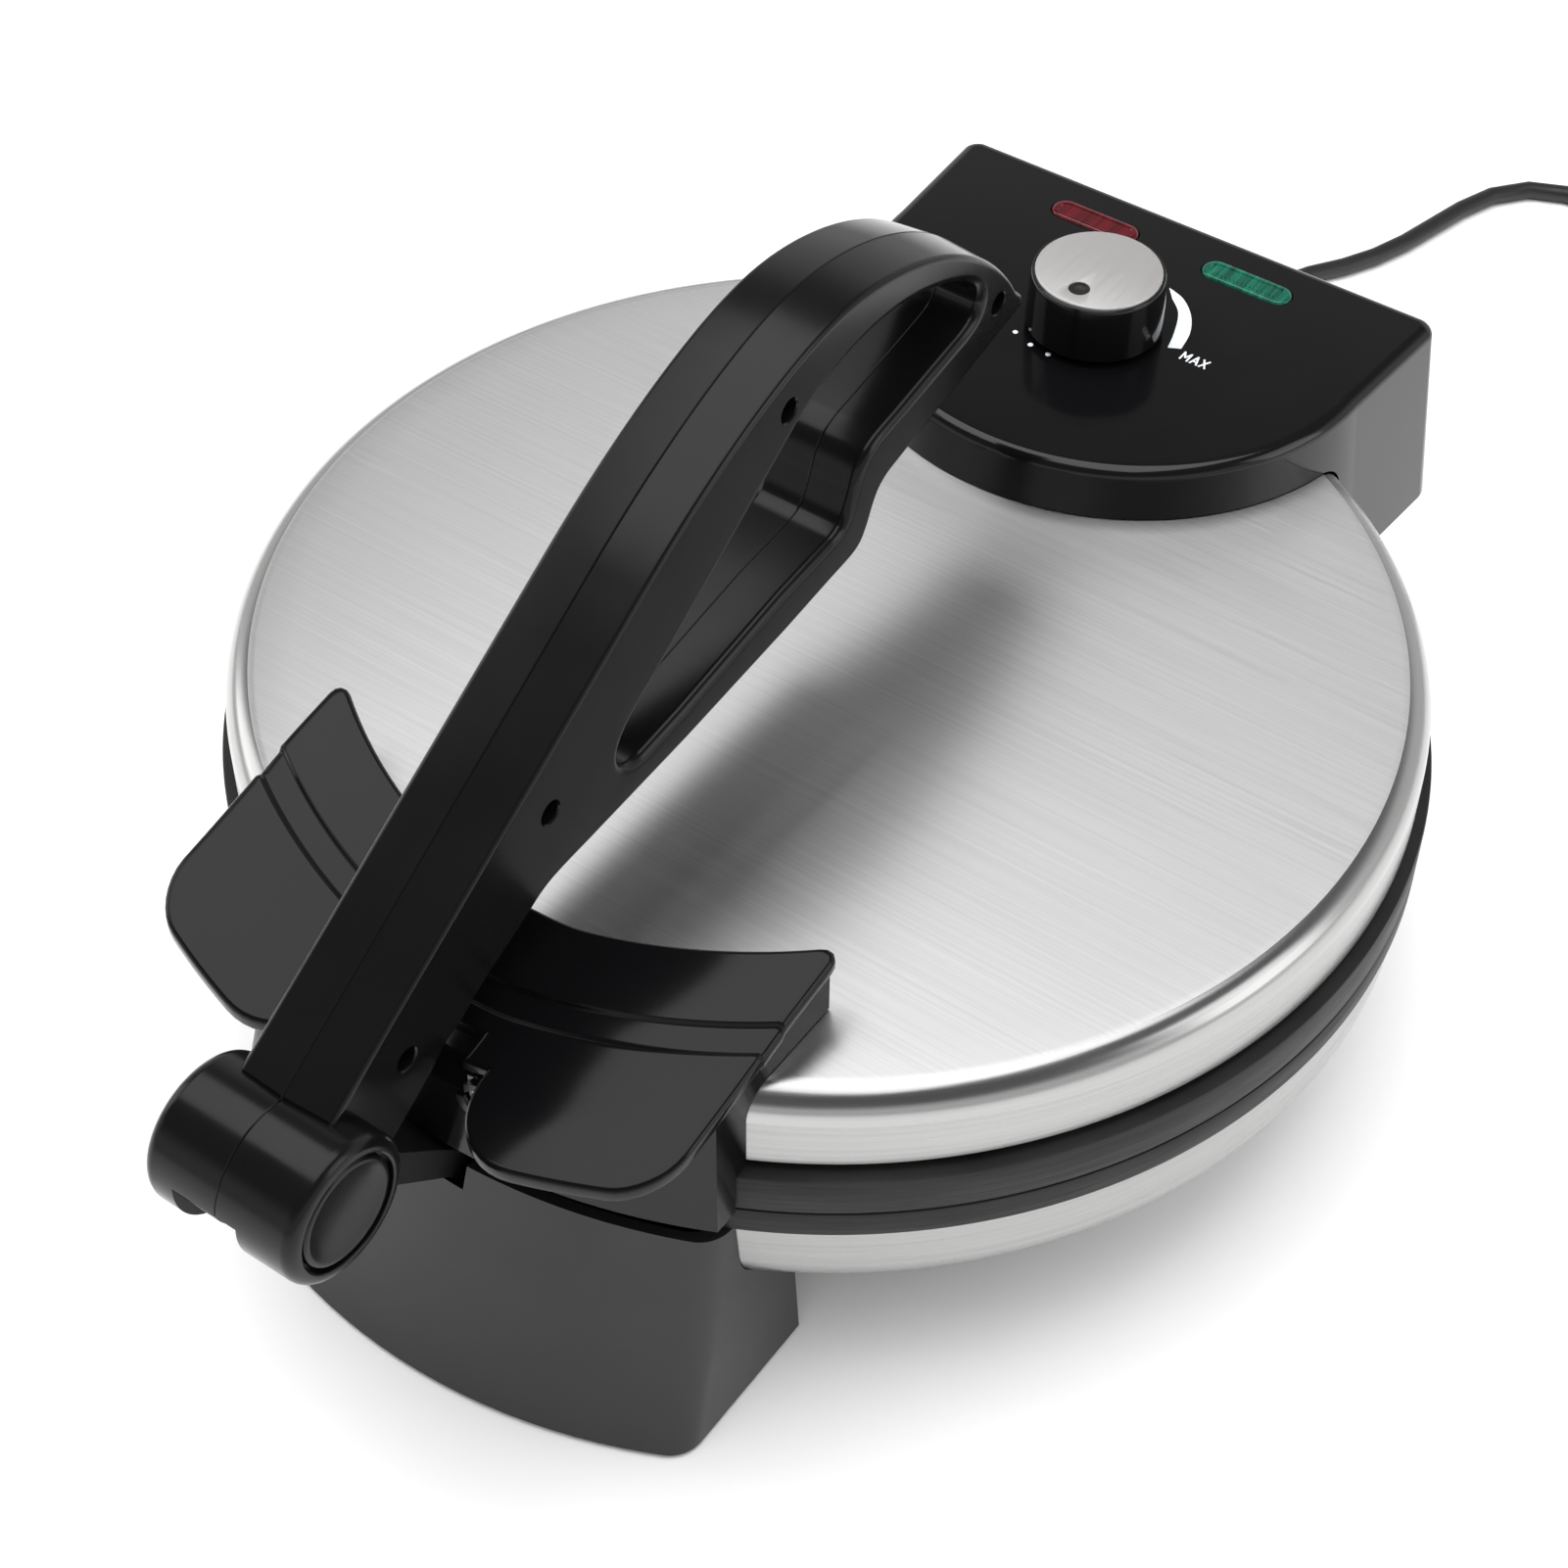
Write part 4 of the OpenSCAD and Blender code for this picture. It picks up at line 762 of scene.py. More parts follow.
def ribTree():
    # repeats the given rib along x
    tree = bpy.data.node_groups.new("lensRibs", "GeometryNodeTree")
    tree.interface.new_socket("Geometry", in_out="INPUT", socket_type="NodeSocketGeometry")
    sockets = {}
    for name, kind in (("Count", "Int"), ("Pitch", "Float"), ("Material", "Material")):
        socket = tree.interface.new_socket(name, in_out="INPUT", socket_type="NodeSocket" + kind)
        sockets[name] = socket.identifier
    tree.interface.new_socket("Geometry", in_out="OUTPUT", socket_type="NodeSocketGeometry")
    given = tree.nodes.new("NodeGroupInput")
    step = tree.nodes.new("ShaderNodeCombineXYZ")
    line = tree.nodes.new("GeometryNodeMeshLine")
    copies = tree.nodes.new("GeometryNodeInstanceOnPoints")
    real = tree.nodes.new("GeometryNodeRealizeInstances")
    painted = tree.nodes.new("GeometryNodeSetMaterial")
    made = tree.nodes.new("NodeGroupOutput")
    for source, target in (
            (given.outputs["Count"], line.inputs["Count"]),
            (given.outputs["Pitch"], step.inputs["X"]),
            (step.outputs["Vector"], line.inputs["Offset"]),
            (line.outputs["Mesh"], copies.inputs["Points"]),
            (given.outputs["Geometry"], copies.inputs["Instance"]),
            (copies.outputs["Instances"], real.inputs["Geometry"]),
            (real.outputs["Geometry"], painted.inputs["Geometry"]),
            (given.outputs["Material"], painted.inputs["Material"]),
            (painted.outputs["Geometry"], made.inputs["Geometry"])):
        tree.links.new(source, target)
    return tree, sockets


def lensRibs(x, y, top, look):
    s = ribSizes
    u, low = x + s["first"], top - s["low"]
    section = [(u - s["halfWidth"], low), (u, top - s["high"]), (u + s["halfWidth"], low)]
    ribs = prism("rib", section, y - s["halfLength"], y + s["halfLength"], place=lambda a, b, c: (a, c, b))
    tree, sockets = ribTree()
    row = ribs.modifiers.new("row", "NODES")
    row.node_group = tree
    row[sockets["Count"]] = s["count"]
    row[sockets["Pitch"]] = s["pitch"] * mm
    row[sockets["Material"]] = looks[look]
    return applied(ribs)


def addLenses():
    s = housingSizes
    for side, look, node in ((-1, "red", "red_lens"), (1, "green", "green_lens")):
        x, y, top = side * s["lensX"], s["lensY"], s["top"] + 0.7
        loops = []
        for inset, z in ((0, top - 3.5), (0, top - 0.8), (0.12, top - 0.42), (0.42, top - 0.12), (0.9, top),
                         (1.7, top - 0.05), (1.9, top - 0.35)):
            loop = stadium(s["lensLength"] - 2 * inset, s["lensWidth"] - 2 * inset, x, y)
            loops.append([(u, v, z) for u, v in loop])
        lens = loft("lens_" + look, loops)
        if look == "green":
            lens = merged("lens_" + look, [lens, lensRibs(x, y, top, look)])
        smoothed(lens.data, 35)
        finished(lens, look, "lid", look + "_plastic", node)


addHousing()
addLenses()
print("housing cut")


# Knob with a brushed disc and a dark dimple that points at the scale
knobSizes = {
    "radius": 18.8,
    "low": 124.8,
    "disc": 17.0,
    "discTop": 141.4,
    "dimple": 10.2,
    "dimpleRadius": 2.9,
}


def addKnob():
    s = knobSizes
    r, low, top = s["radius"], s["low"], s["discTop"]
    profile = [(0, low + 11), (3, low + 11), (3, low + 0.4), (7, low + 0.4), (7, low + 8),
               (r - 3, low + 8), (r - 3, low), (r - 0.4, low), (r - 0.05, low + 0.35),
               (r - 0.75, top - 1.5), (r - 0.85, top - 1.0), (r - 1.05, top - 0.7), (r - 1.3, top - 0.62),
               (r - 1.55, top - 0.7), (r - 1.65, top - 1.1), (r - 1.7, top - 2.2), (0, top - 2.2)]
    knob = lathe("knob_body", profile, 160, centre=(0, shaftY, 0))
    smoothed(knob.data, 32)
    finished(knob, "housing", "knob", "black_plastic", "knob")
    d, dimpleCentre = s["disc"], (0, shaftY - s["dimple"], 0)
    face = [(0, top - 2.15), (d, top - 2.15), (d, top - 0.35), (d - 0.12, top - 0.1),
            (d - 0.4, top), (0, top)]
    disc = lathe("knob_face", face, 160, centre=(0, shaftY, 0))
    cutBy(disc, [drum("dimple", s["dimpleRadius"], top - 1.5, top + 1, 48, centre=dimpleCentre)])
    beveled(disc, 0.12, 2, 60)
    smoothed(disc.data, 30)
    finished(disc, "disc", "knob", "knob_metal", "knob_disc")
    bowl = [(0, top - 1.35), (1.2, top - 1.3), (2.2, top - 1.0), (2.75, top - 0.5), (2.85, top - 0.3),
            (2.85, top - 1.6), (0, top - 1.6)]
    dimple = lathe("knob_dimple", bowl, 48, centre=dimpleCentre)
    smoothed(dimple.data, 40)
    finished(dimple, "inner", "knob", "inner_black_plastic")


addKnob()
print("knob made")


# Print on the housing's top: a tapered band, dots and the end mark
printSizes = {
    "height": 0.05,
    "bandOuter": [(8.1, 151.1), (13.6, 149.1), (19, 144), (22.7, 137.1), (24.2, 129.8)],
    "bandInner": [(11.2, 147.4), (15.8, 142.7), (19.2, 134.6), (21, 128.1)],
    "dots": [(-15.6, 110), (-9.4, 107.7), (-3.4, 106.9)],
    "dotRadius": 0.75,
    "wordX": 25.9,
    "wordY": 127.6,
    "letter": 3.3,
    "stroke": 0.5,
}


def smoothLine(points, steps=10):
    # Catmull-Rom through the points
    out = []
    for i in range(len(points) - 1):
        a, b, c, d = (points[max(i - 1, 0)], points[i], points[i + 1], points[min(i + 2, len(points) - 1)])
        for k in range(steps):
            t = k / steps
            out.append(tuple(0.5 * (2 * q + (r - p) * t + (2 * p - 5 * q + 4 * r - w) * t * t
                                    + (3 * q - p - 3 * r + w) * t ** 3) for p, q, r, w in zip(a, b, c, d)))
    return out + [points[-1]]


def strokeOutline(a, b, width):
    d = Vector((b[0] - a[0], b[1] - a[1])).normalized() * width / 2
    n = Vector((-d.y, d.x))
    a, b = Vector(a) - d * 0.6, Vector(b) + d * 0.6
    return [tuple(a + n), tuple(a - n), tuple(b - n), tuple(b + n)]


def addPrint():
    s = printSizes
    low, high = housingSizes["top"] - 0.01, housingSizes["top"] + s["height"]
    outer, inner = smoothLine(s["bandOuter"]), smoothLine(s["bandInner"])
    pieces = [prism("band", outer + inner[::-1], low, high)]
    for x, y in s["dots"]:
        pieces.append(prism("dot", arc(x, y, s["dotRadius"], 0, 345, 23), low, high))
    tall, step = s["letter"], s["letter"] * 0.97
    letters = [
        [(0, 0), (0, 1)], [(0, 1), (0.32, 0.35)], [(0.32, 0.35), (0.64, 1)], [(0.64, 1), (0.64, 0)],
        [(0.95, 0), (1.25, 1)], [(1.25, 1), (1.55, 0)], [(1.05, 0.32), (1.45, 0.32)],
        [(1.8, 0), (2.35, 1)], [(1.8, 1), (2.35, 0)],
    ]
    for i, (a, b) in enumerate(letters):
        ends = [(s["wordX"] + u * step, s["wordY"] - tall / 2 + v * tall) for u, v in (a, b)]
        rise = 0.002 * i
        pieces.append(prism("stroke", strokeOutline(*ends, s["stroke"]), low, high + rise))
    dial = merged("dial_print", pieces)
    finished(dial, "paint", "lid", "black_plastic")


addPrint()
print("dial printed")


# Press lever: two halves with rounded edges, a low ridge along the middle and a barrel
leverSizes = {
    "pinY": -204.8,
    "pinZ": 107.8,
    "length": 266.8,
    "halfWidth": 13.0,
    "outerEdge": 1.5,
    "holeEdge": 2.6,
    "seamEdge": 0.3,
    "ridge": 1.1,
    "barrel": 18.0,
    "barrelHalf": 21.0,
    "barrelEdge": 3.2,
    "slotLeft": 12.0,
    "slotRight": 5.8,
    "slotFrom": 173,
    "slotTo": 341,
    "knuckle": 12.4,
    "collar": 16.0,
    "screwHole": 3.0,
    "screws": [(63.08, 36.88), (30.32, 17.47), (11.17, 5.58), (95.69, 27.66)],
}


def leverOutline():
    # hundredths of the length from the pin; the top runs from the barrel to the tip
    tip = (100, 25.94)
    top = [(2.1, 6.82), (43.03, 32.12)]
    top += bezier((43.03, 32.12), (52.62, 38.01), (63.64, 42.5), (71.51, 42.5), 28)
    top += bezier((71.51, 42.5), (81.26, 42.5), (94.38, 36.81), tip, 28)
    rest = bezier(tip, (100.37, 25.19), (100.15, 24.81), (99.25, 24.55), 6)
    rest += [(79.01, 19.68)]
    rest += bezier((79.01, 19.68), (76.39, 19), (76.39, 16.94), (75.26, 15.26), 12)
    rest += bezier((75.26, 15.26), (74.33, 13.68), (73.39, 13.64), (70.05, 13.31), 12)
    rest += [(62.71, 12.37), (48.28, 10.94), (34.41, 10.01)]
    rest += bezier((34.41, 10.01), (30.9, 9.8), (29.6, 9.9), (27.5, 8.7), 6) + [(21.06, 5.7)]
    rest += bezier((21.06, 5.7), (19.3, 4.8), (17.9, 3.4), (15.89, 2.92), 6)
    rest += [(13.19, 0.79), (8.62, -2.17), (6.18, -1.54), (0, 0)]
    return top, rest


def handHole():
    hole = bezier((39.47, 16.57), (39.66, 18.07), (41.15, 19.38), (43.78, 20.8), 12)
    hole += [(64.39, 34.3)]
    hole += bezier((64.39, 34.3), (69.27, 37.29), (76.01, 38.12), (82.38, 36.43), 18)
    hole += bezier((82.38, 36.43), (88.01, 34.75), (92.88, 32.31), (92.69, 29.5), 18)
    hole += bezier((92.69, 29.5), (92.5, 28), (91, 27.62), (89.36, 27.32), 10)
    hole += [(80.13, 25.49), (77.51, 25.04)]
    hole += bezier((77.51, 25.04), (73.76, 24.25), (73.76, 21.81), (72.83, 19.94), 12)
    hole += bezier((72.83, 19.94), (72.08, 17.99), (71.33, 17.8), (69.9, 17.62), 10)
    hole += [(62.63, 16.94), (48.28, 14.58), (42.69, 13.94)]
    hole += bezier((42.69, 13.94), (40.78, 13.76), (39.36, 14.69), (39.47, 16.57), 12)
    return hole


def outwardNormals(loop):
    # loop runs counterclockwise; normals are cut short at sharp corners
    normals = []
    for i, here in enumerate(loop):
        before, after = loop[i - 1], loop[(i + 1) % len(loop)]
        a = Vector((here[0] - before[0], here[1] - before[1])).normalized()
        b = Vector((after[0] - here[0], after[1] - here[1])).normalized()
        n = Vector((a.y + b.y, -a.x - b.x)).normalized()
        normals.append(n / max(n.dot(Vector((a.y, -a.x))), 0.6))
    return normals


def counterclockwise(loop):
    area = sum(a[0] * b[1] - b[0] * a[1] for a, b in zip(loop, loop[1:] + loop[:1]))
    return loop if area > 0 else loop[::-1]


def roundedSlab(name, loops, edges, high, seam, lowering, side):
    # loops: the outline and its holes as (y, z); edges: each one's rounding on the outer face
    work = bmesh.new()
    caps = ([], [])
    for k, (loop, edge) in enumerate(zip(loops, edges)):
        loop = counterclockwise(loop)
        normals = outwardNormals(loop)
        if k:
            normals = [-n for n in normals]
        bend = [math.radians(a) for a in range(0, 91, 15)]
        levels = [(0, seam), (seam, 0)]
        levels += [(high - edge + edge * math.sin(a), edge * (1 - math.cos(a))) for a in bend]
        rows = []
        for x, inset in levels:
            row = []
            for (y, z), n in zip(loop, normals):
                drop = inset + (lowering(y, z) * x / high if not k else 0)
                row.append(work.verts.new(toMetres((side * x, y - n.x * drop, z - n.y * drop))))
            rows.append(row)
        for low, up in zip(rows, rows[1:]):
            for i in range(len(loop)):
                j = (i + 1) % len(loop)
                work.faces.new((low[i], low[j], up[j], up[i]))
        caps[0].append(rows[0])
        caps[1].append(rows[-1])
    for cap in caps:
        edgesOfCap = []
        for row in cap:
            for a, b in zip(row, row[1:] + row[:1]):
                edgesOfCap.append(work.edges.get((a, b)))
        bmesh.ops.triangle_fill(work, edges=edgesOfCap, use_beauty=True)
    bmesh.ops.recalc_face_normals(work, faces=work.faces)
    mesh = bpy.data.meshes.new(name)
    work.to_mesh(mesh)
    work.free()
    return makeObject(name, mesh)


def addLever():
    s = leverSizes
    unit = s["length"] / 100

    def placed(points):
        return [(y * unit + s["pinY"], z * unit + s["pinZ"]) for y, z in points]

    top, rest = leverOutline()
    outline = placed(top + rest)
    ridged = set(placed(top[:-1]))

    def lowering(y, z):
        return s["ridge"] if (y, z) in ridged else 0

    pin = (0, s["pinY"], s["pinZ"])
    sector = [(0, 0)] + arc(0, 0, s["barrel"] + 3, s["slotFrom"], s["slotTo"], 40)
    slot = [(s["pinY"] + u, s["pinZ"] + v) for u, v in sector]
    for side, node, slotWidth in ((1, "lever_right_half", s["slotRight"]),
                                  (-1, "lever_left_half", s["slotLeft"])):
        arm = roundedSlab("arm", [outline, placed(handHole())], [s["outerEdge"], s["holeEdge"]],
                          s["halfWidth"], s["seamEdge"], lowering, side)
        barrel = barrelHalf(side, pin)
        for part in (arm, barrel):
            tools = [prism("slot", slot, -1, slotWidth, place=lambda a, b, c: (side * c, a, b)),
                     drum("knuckle", s["knuckle"], -1, slotWidth, 96, "x", pin)]
            if side < 0:
                tools[1].scale = (-1, 1, 1)
                tools.append(drum("collarRoom", s["collar"], -3, -12, 96, "x", pin))
            cutBy(part, tools)
        if side > 0:
            for y, z in placed(s["screws"]):
                hole = s["screwHole"]
                profile = [(0, 5), (hole, 5), (hole, 12.6), (hole + 0.45, 13.2), (0, 13.2)]
                cutBy(arm, [lathe("screwHole", profile, 40, "x", (0, y, z))])
        half = merged(node + "_dressed", [arm, barrel])
        evenNormals(half, 32)
        finished(half, "lever", "lever", "black_plastic", node)


def barrelHalf(side, pin):
    s = leverSizes
    r, end, edge = s["barrel"], s["barrelHalf"], s["barrelEdge"]
    bend = [math.radians(a) for a in range(15, 91, 15)]
    profile = [(0, 0.05), (r - 0.2, 0.05), (r, 0.25), (r, end - edge)]
    profile += [(r - edge + edge * math.cos(a), end - edge + edge * math.sin(a)) for a in bend]
    profile += [(14.5, end - 0.1), (14.25, end - 0.3), (14.1, end - 2.2), (0, end - 2.2)]
    return lathe("barrel", [(a, side * b) for a, b in profile], 128, "x", pin)


def addBarrelCaps():
    s = leverSizes
    end = s["barrelHalf"]
    dished = [(0, 2.2), (13.5, 2.2), (13.5, 1.3), (13.3, 0.75), (12.8, 0.4), (12.2, 0.3), (11.6, 0.38),
              (10.9, 0.62), (8.5, 1.0), (5, 1.3), (0, 1.42)]  # radius, and depth below the barrel's end
    caps = []
    for side in (-1, 1):
        profile = [(radius, side * (end - depth)) for radius, depth in dished]
        caps.append(lathe("cap", profile, 96, "x", (0, s["pinY"], s["pinZ"])))
    both = merged("barrel_caps_dressed", caps)
    smoothed(both.data, 40)
    finished(both, "lever", "lever", "black_plastic", "barrel_caps")


addLever()
addBarrelCaps()
print("lever made")


# Lid grip: two wings over the construction's own skirt
wingSizes = {
    "front": 181.0,
    "rear": 122.0,
    "inner": 20.0,
    "outer": 72.0,
    "innerCorner": 20.0,
    "outerCorner": 11.0,
    "rearCorner": 2.5,
    "thickness": 4.2,
    "edge": 1.4,
    "rootX": 45.0,
    "rootZ": 112.5,
    "tilt": 9.5,
    "line": [(110, 12.3), (122, 9.5), (140.5, 5.3), (148, 3), (160, -0.3), (172.6, -3.3), (191, -8.2)],
    "band": (140.5, 148.0),
    "bandDepth": 1.2,
    "bandEnds": (-0.3, -0.1, 0.1, 0.3, 0.5, -1.6, -1.2, -0.7, -0.2, 0.2),
    "saddle": 14.6,
    # how far out each part of the skin reaches: x up to which it applies, and the radius
    "steps": ((15.2, 151.0), (21.4, 158.6)),
    # what the skin replaces: from which x, and from which to which radius
    "cuts": ((-0.5, 116, 151.0), (14.2, 150.9, 160.6), (19.8, 160.5, 190)),
    "cutOuter": 78,
    "cutHeight": 40,
}


def wingHeight(r):
    line = wingSizes["line"]
    r = min(max(r, line[0][0]), line[-1][0])
    i = max(k for k in range(len(line) - 1) if line[k][0] <= r)

    def slope(k):
        a, b = line[max(k - 1, 0)], line[min(k + 1, len(line) - 1)]
        return (b[1] - a[1]) / (b[0] - a[0])

    (r0, h0), (r1, h1) = line[i], line[i + 1]
    w = r1 - r0
    t = (r - r0) / w
    return ((2 * t ** 3 - 3 * t * t + 1) * h0 + (t ** 3 - 2 * t * t + t) * w * slope(i)
            + (3 * t * t - 2 * t ** 3) * h1 + (t ** 3 - t * t) * w * slope(i + 1))


def ease(value, low, high):
    t = min(max((value - low) / (high - low), 0), 1)
    return t * t * (3 - 2 * t)


def wingPoint(x, r, depth=0.0, banded=True):
    # a point of the right wing's top, tilted about its root and level under the lever
    s = wingSizes
    height = wingHeight(r) - depth
    if banded:
        near, far = s["band"]
        height -= s["bandDepth"] * ease(r, near - 0.3, near + 0.5) * (1 - ease(r, far - 1.6, far + 0.2))
    tilt = math.radians(s["tilt"])
    offset = x - s["saddle"]
    lifted = x if offset > 4 else s["saddle"] + max(offset + 4, 0) ** 2 / 16
    flatX = s["rootX"] + (lifted - s["rootX"] + height * math.sin(tilt)) / math.cos(tilt)
    z = s["rootZ"] + (flatX - s["rootX"]) * math.sin(tilt) + height * math.cos(tilt)
    flatX += x - lifted
    return (x, -math.sqrt(max(r * r - flatX * flatX, 0)), z)


def wingLimits(r, inset):
    # the wing's inner and outer x at a distance from the lid's axis, with rounded corners
    s = wingSizes
    front, rear = s["front"] - inset, s["rear"] + inset
    low, high = s["inner"] + inset, s["outer"] - inset
    inCorner, outCorner, back = s["innerCorner"] - inset, s["outerCorner"] - inset, s["rearCorner"]
    into = max(r - (front - inCorner), 0)
    low += inCorner - math.sqrt(max(inCorner ** 2 - into ** 2, 0))
    into = max(r - (front - outCorner), 0)
    high -= outCorner - math.sqrt(max(outCorner ** 2 - into ** 2, 0))
    into = max(rear + back - r, 0)
    cut = back - math.sqrt(max(back ** 2 - into ** 2, 0))
    return low, high - cut


def wingRows(inset):
    s = wingSizes
    front, rear = s["front"] - inset, s["rear"] + inset
    fixed = [rear, rear + 0.2, rear + 0.7, rear + 1.5, rear + s["rearCorner"]]
    near, far = s["band"]
    fixed += [near + step for step in s["bandEnds"][:5]] + [far + step for step in s["bandEnds"][5:]]
    corner = s["innerCorner"] - inset
    for i in range(13):
        fixed.append(front - corner * (1 - math.sin(math.radians(90 * i / 12))))
    r = rear + 4.5
    while r < front - corner:
        fixed.append(r)
        r += 1.5
    ends = [radius for _, radius in s["steps"]]
    fixed = [value for value in fixed if min(abs(value - end) for end in ends) > 0.4] + ends
    rows = []
    for value in sorted(fixed):
        if not rows or value - rows[-1] > 0.08:
            rows.append(value)
    return rows


def chained(edges):
    # directed edges put end to end
    following = dict(edges)
    start = next(iter(following))
    loop = [start]
    while following[loop[-1]] != start:
        loop.append(following[loop[-1]])
    return loop


def wingSkin(side):
    s = wingSizes
    edge, thick = s["edge"], s["thickness"]
    rows = wingRows(edge)
    (saddleX, saddleR), (rootX, rootR) = s["steps"]
    middle = [saddleX * i / 6 for i in range(6)] + [saddleX + (rootX - saddleX) * i / 3 for i in range(3)]
    reach = [saddleR] * 6 + [rootR] * 3
    columns = 36
    points, index = [], {}
    for i, r in enumerate(rows):
        low, high = wingLimits(r, edge)
        across = middle + [low + (high - low) * j / columns for j in range(columns + 1)]
        for j, x in enumerate(across):
            if j >= len(reach) or r <= reach[j] + 0.01 or (j and r <= reach[j - 1] + 0.01):
                index[i, j] = len(points)
                points.append(wingPoint(x, r))
    faces, border = [], {}
    for i in range(len(rows) - 1):
        for j in range(len(middle) + columns):
            if j < len(reach) and rows[i + 1] > reach[j] + 0.01:
                continue
            face = [index[i, j], index[i + 1, j], index[i + 1, j + 1], index[i, j + 1]]
            faces.append(face)
            for a, b in zip(face, face[1:] + face[:1]):
                if (b, a) in border:
                    del border[b, a]
                else:
                    border[a, b] = True
    rim = chained(list(border))
    count = len(points)
    normals = [Vector((0, round(n.y))) if points[k][0] < 0.01 else n
               for k, n in zip(rim, outwardNormals([points[k][:2] for k in rim]))]
    points += [(x, y, z - thick) for x, y, z in points]
    faces += [[k + count for k in face] for face in faces]
    rings = [rim]
    upper = [math.radians(a) for a in (20, 40, 60, 78, 90)]
    under = [math.radians(a) for a in (0, 30, 60)]
    turn = [(edge * math.sin(a), edge * (1 - math.cos(a))) for a in upper]
    turn += [(edge - 0.8 + 0.8 * math.cos(a), thick - 0.8 + 0.8 * math.sin(a)) for a in under]
    for out, down in turn:
        rings.append(list(range(len(points), len(points) + len(rim))))
        for k, n in zip(rim, normals):
            x, y, z = points[k]
            points.append((x + n.x * out, y + n.y * out, z - down))
    rings.append([k + count for k in rim])
    for a, b in zip(rings, rings[1:]):
        for i in range(len(a)):
            j = (i + 1) % len(a)
            faces.append([a[i], a[j], b[j], b[i]])
    mesh = makeMesh("wing", [(side * x, y, z) for x, y, z in points], faces)
    tidyNormals(mesh)
    return makeObject("wing", mesh)


def wingTool(side, lowX, lowR, highR):
    # the room that the modelled skin takes from the construction's grip
    s = wingSizes
    xs = [lowX + (s["cutOuter"] - lowX) * i / 20 for i in range(21)]
    rs = [lowR + (highR - lowR) * i / 16 for i in range(17)]
    points, faces = [], []
    for lift in (0, s["cutHeight"]):
        for r in rs:
            for x in xs:
                x, y, z = wingPoint(x, r, s["thickness"] - 0.1, False)
                points.append((side * x, y, z + lift))
    n, m = len(xs), len(rs)
    for start in (0, n * m):
        for i in range(m - 1):
            for j in range(n - 1):
                a = start + i * n + j
                faces.append([a, a + 1, a + n + 1, a + n])
    rim = [j for j in range(n)] + [i * n + n - 1 for i in range(1, m - 1)]
    rim += [(m - 1) * n + j for j in range(n)][::-1] + [i * n for i in range(1, m - 1)][::-1]
    for i in range(len(rim)):
        a, b = rim[i], rim[(i + 1) % len(rim)]
        faces.append([a, b, b + n * m, a + n * m])
    mesh = makeMesh("tool", points, faces)
    tidyNormals(mesh)
    return makeObject("tool", mesh)


def addGrip():
    skirt = nodeCopy("lid_grip")
    for side in (1, -1):
        cutBy(skirt, [wingTool(side, *cut) for cut in wingSizes["cuts"]])
    evenNormals(skirt, 32)
    skins = [wingSkin(1), wingSkin(-1)]
    for skin in skins:
        smoothed(skin.data, 32)
    grip = merged("lid_grip_dressed", [skirt, *skins])
    finished(grip, "grip", "lid", "black_plastic", "lid_grip")


addGrip()
print("grip made")


# Construction nodes that keep their own shape
def dressConstruction():
    rounded = {
        "front_base": ("base", 0.7),
        "rear_base": ("base", 0.8),
        "lever_neck": ("inner", 0.5),
        "strain_relief": ("cord", 0.3),
    }
    for node, (look, edge) in rounded.items():
        dressedNode(node, look, edge)
    plain = {
        "screw_steel": "screw", "plated_steel": "plated", "element_sheath": "sheath",
        "ceramic_body": "ceramic", "bush_brass": "brass", "lamp_glass": "lamp",
        "inner_black_plastic": "inner", "foot_rubber": "foot",
    }
    for node, piece in frame["nodes"].items():
        look = plain.get(slotOf[node])
        if look and node not in rounded:
            piece.data.materials.clear()
            piece.data.materials.append(looks[look])


dressConstruction()
print("construction dressed")


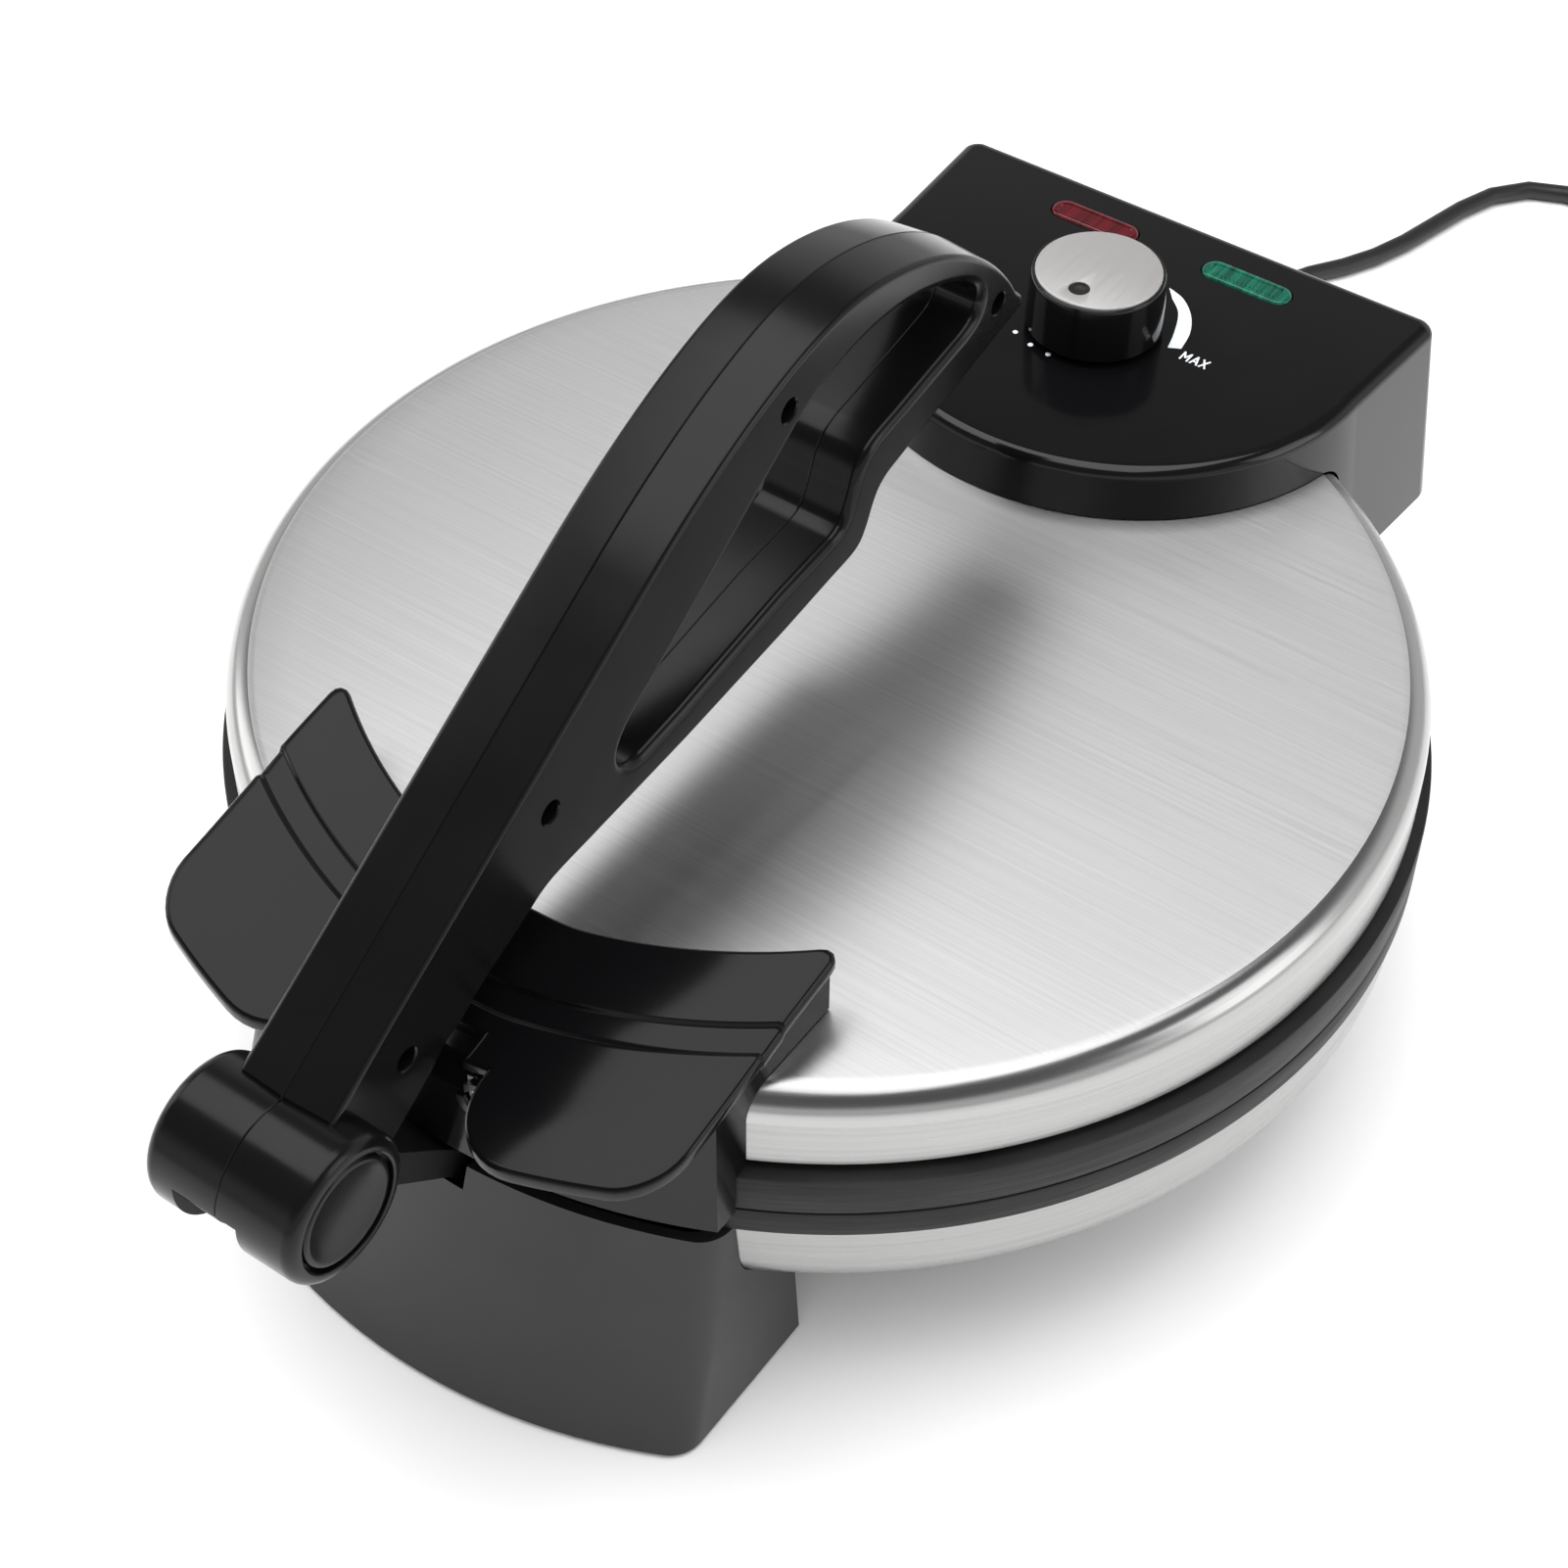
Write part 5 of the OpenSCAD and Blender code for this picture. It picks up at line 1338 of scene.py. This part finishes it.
# Floor, world and lights
studio = {
    "floor": (0.95, 0.95, 0.95),
    "floorHalf": 6.0,
    "horizon": 0.76,
    "zenith": 0.14,
    "lean": (0, -0.13, 1),  # the dark part of the sky reaches lower in front
    "fade": (0.32, 0.54),
    "lights": {
        # name: (place, aimed at, size x, size y, watts, mirrored in glossy surfaces)
        "top": ((-0.24, 0.05, 1.6), (-0.24, 0.05, 0), 1.8, 1.3, 18, True),
        "fill": ((0, 0, 1.7), (0, 0, 0), 3.4, 3.4, 54, False),
        "left": ((-1.5, -0.3, 0.9), (0, 0, 0.1), 0.8, 1.2, 5, True),
        "right": ((1.6, 0.5, 0.8), (0, 0, 0.1), 0.8, 1.2, 5, True),
    },
}


def addStudio():
    world = bpy.data.worlds.new("studio")
    bpy.context.scene.world = world
    world.use_nodes = True
    background = world.node_tree.nodes["Background"]
    background.inputs["Color"].default_value = (1, 1, 1, 1)
    where = addNode(world, "ShaderNodeTexCoord")
    height = addNode(world, "ShaderNodeVectorMath", operation="DOT_PRODUCT")
    height.inputs[1].default_value = studio["lean"]
    join(world, where.outputs["Generated"], height.inputs[0])
    fade = spread(world, height.outputs["Value"], studio["horizon"], studio["zenith"], *studio["fade"])
    join(world, fade, background.inputs["Strength"])
    mesh = bpy.data.meshes.new("floor")
    side = studio["floorHalf"]
    corners = [(-side, -side, 0), (side, -side, 0), (side, side, 0), (-side, side, 0)]
    mesh.from_pydata(corners, [], [(0, 1, 2, 3)])
    floor = makeObject("floor", mesh)
    material = newMaterial("paleFloor", studio["floor"], 0.6)
    floor.data.materials.append(material)
    for name, (place, aim, sizeX, sizeY, watts, mirrored) in studio["lights"].items():
        data = bpy.data.lights.new(name, "AREA")
        data.shape = "RECTANGLE"
        data.size, data.size_y, data.energy = sizeX, sizeY, watts
        light = bpy.data.objects.new(name, data)
        light.location = place
        light.visible_glossy = mirrored
        light.rotation_euler = (Vector(aim) - Vector(place)).to_track_quat("-Z", "Y").to_euler()
        bpy.context.scene.collection.objects.link(light)
    bpy.context.scene.view_settings.view_transform = "Standard"


addStudio()
print("studio lit")
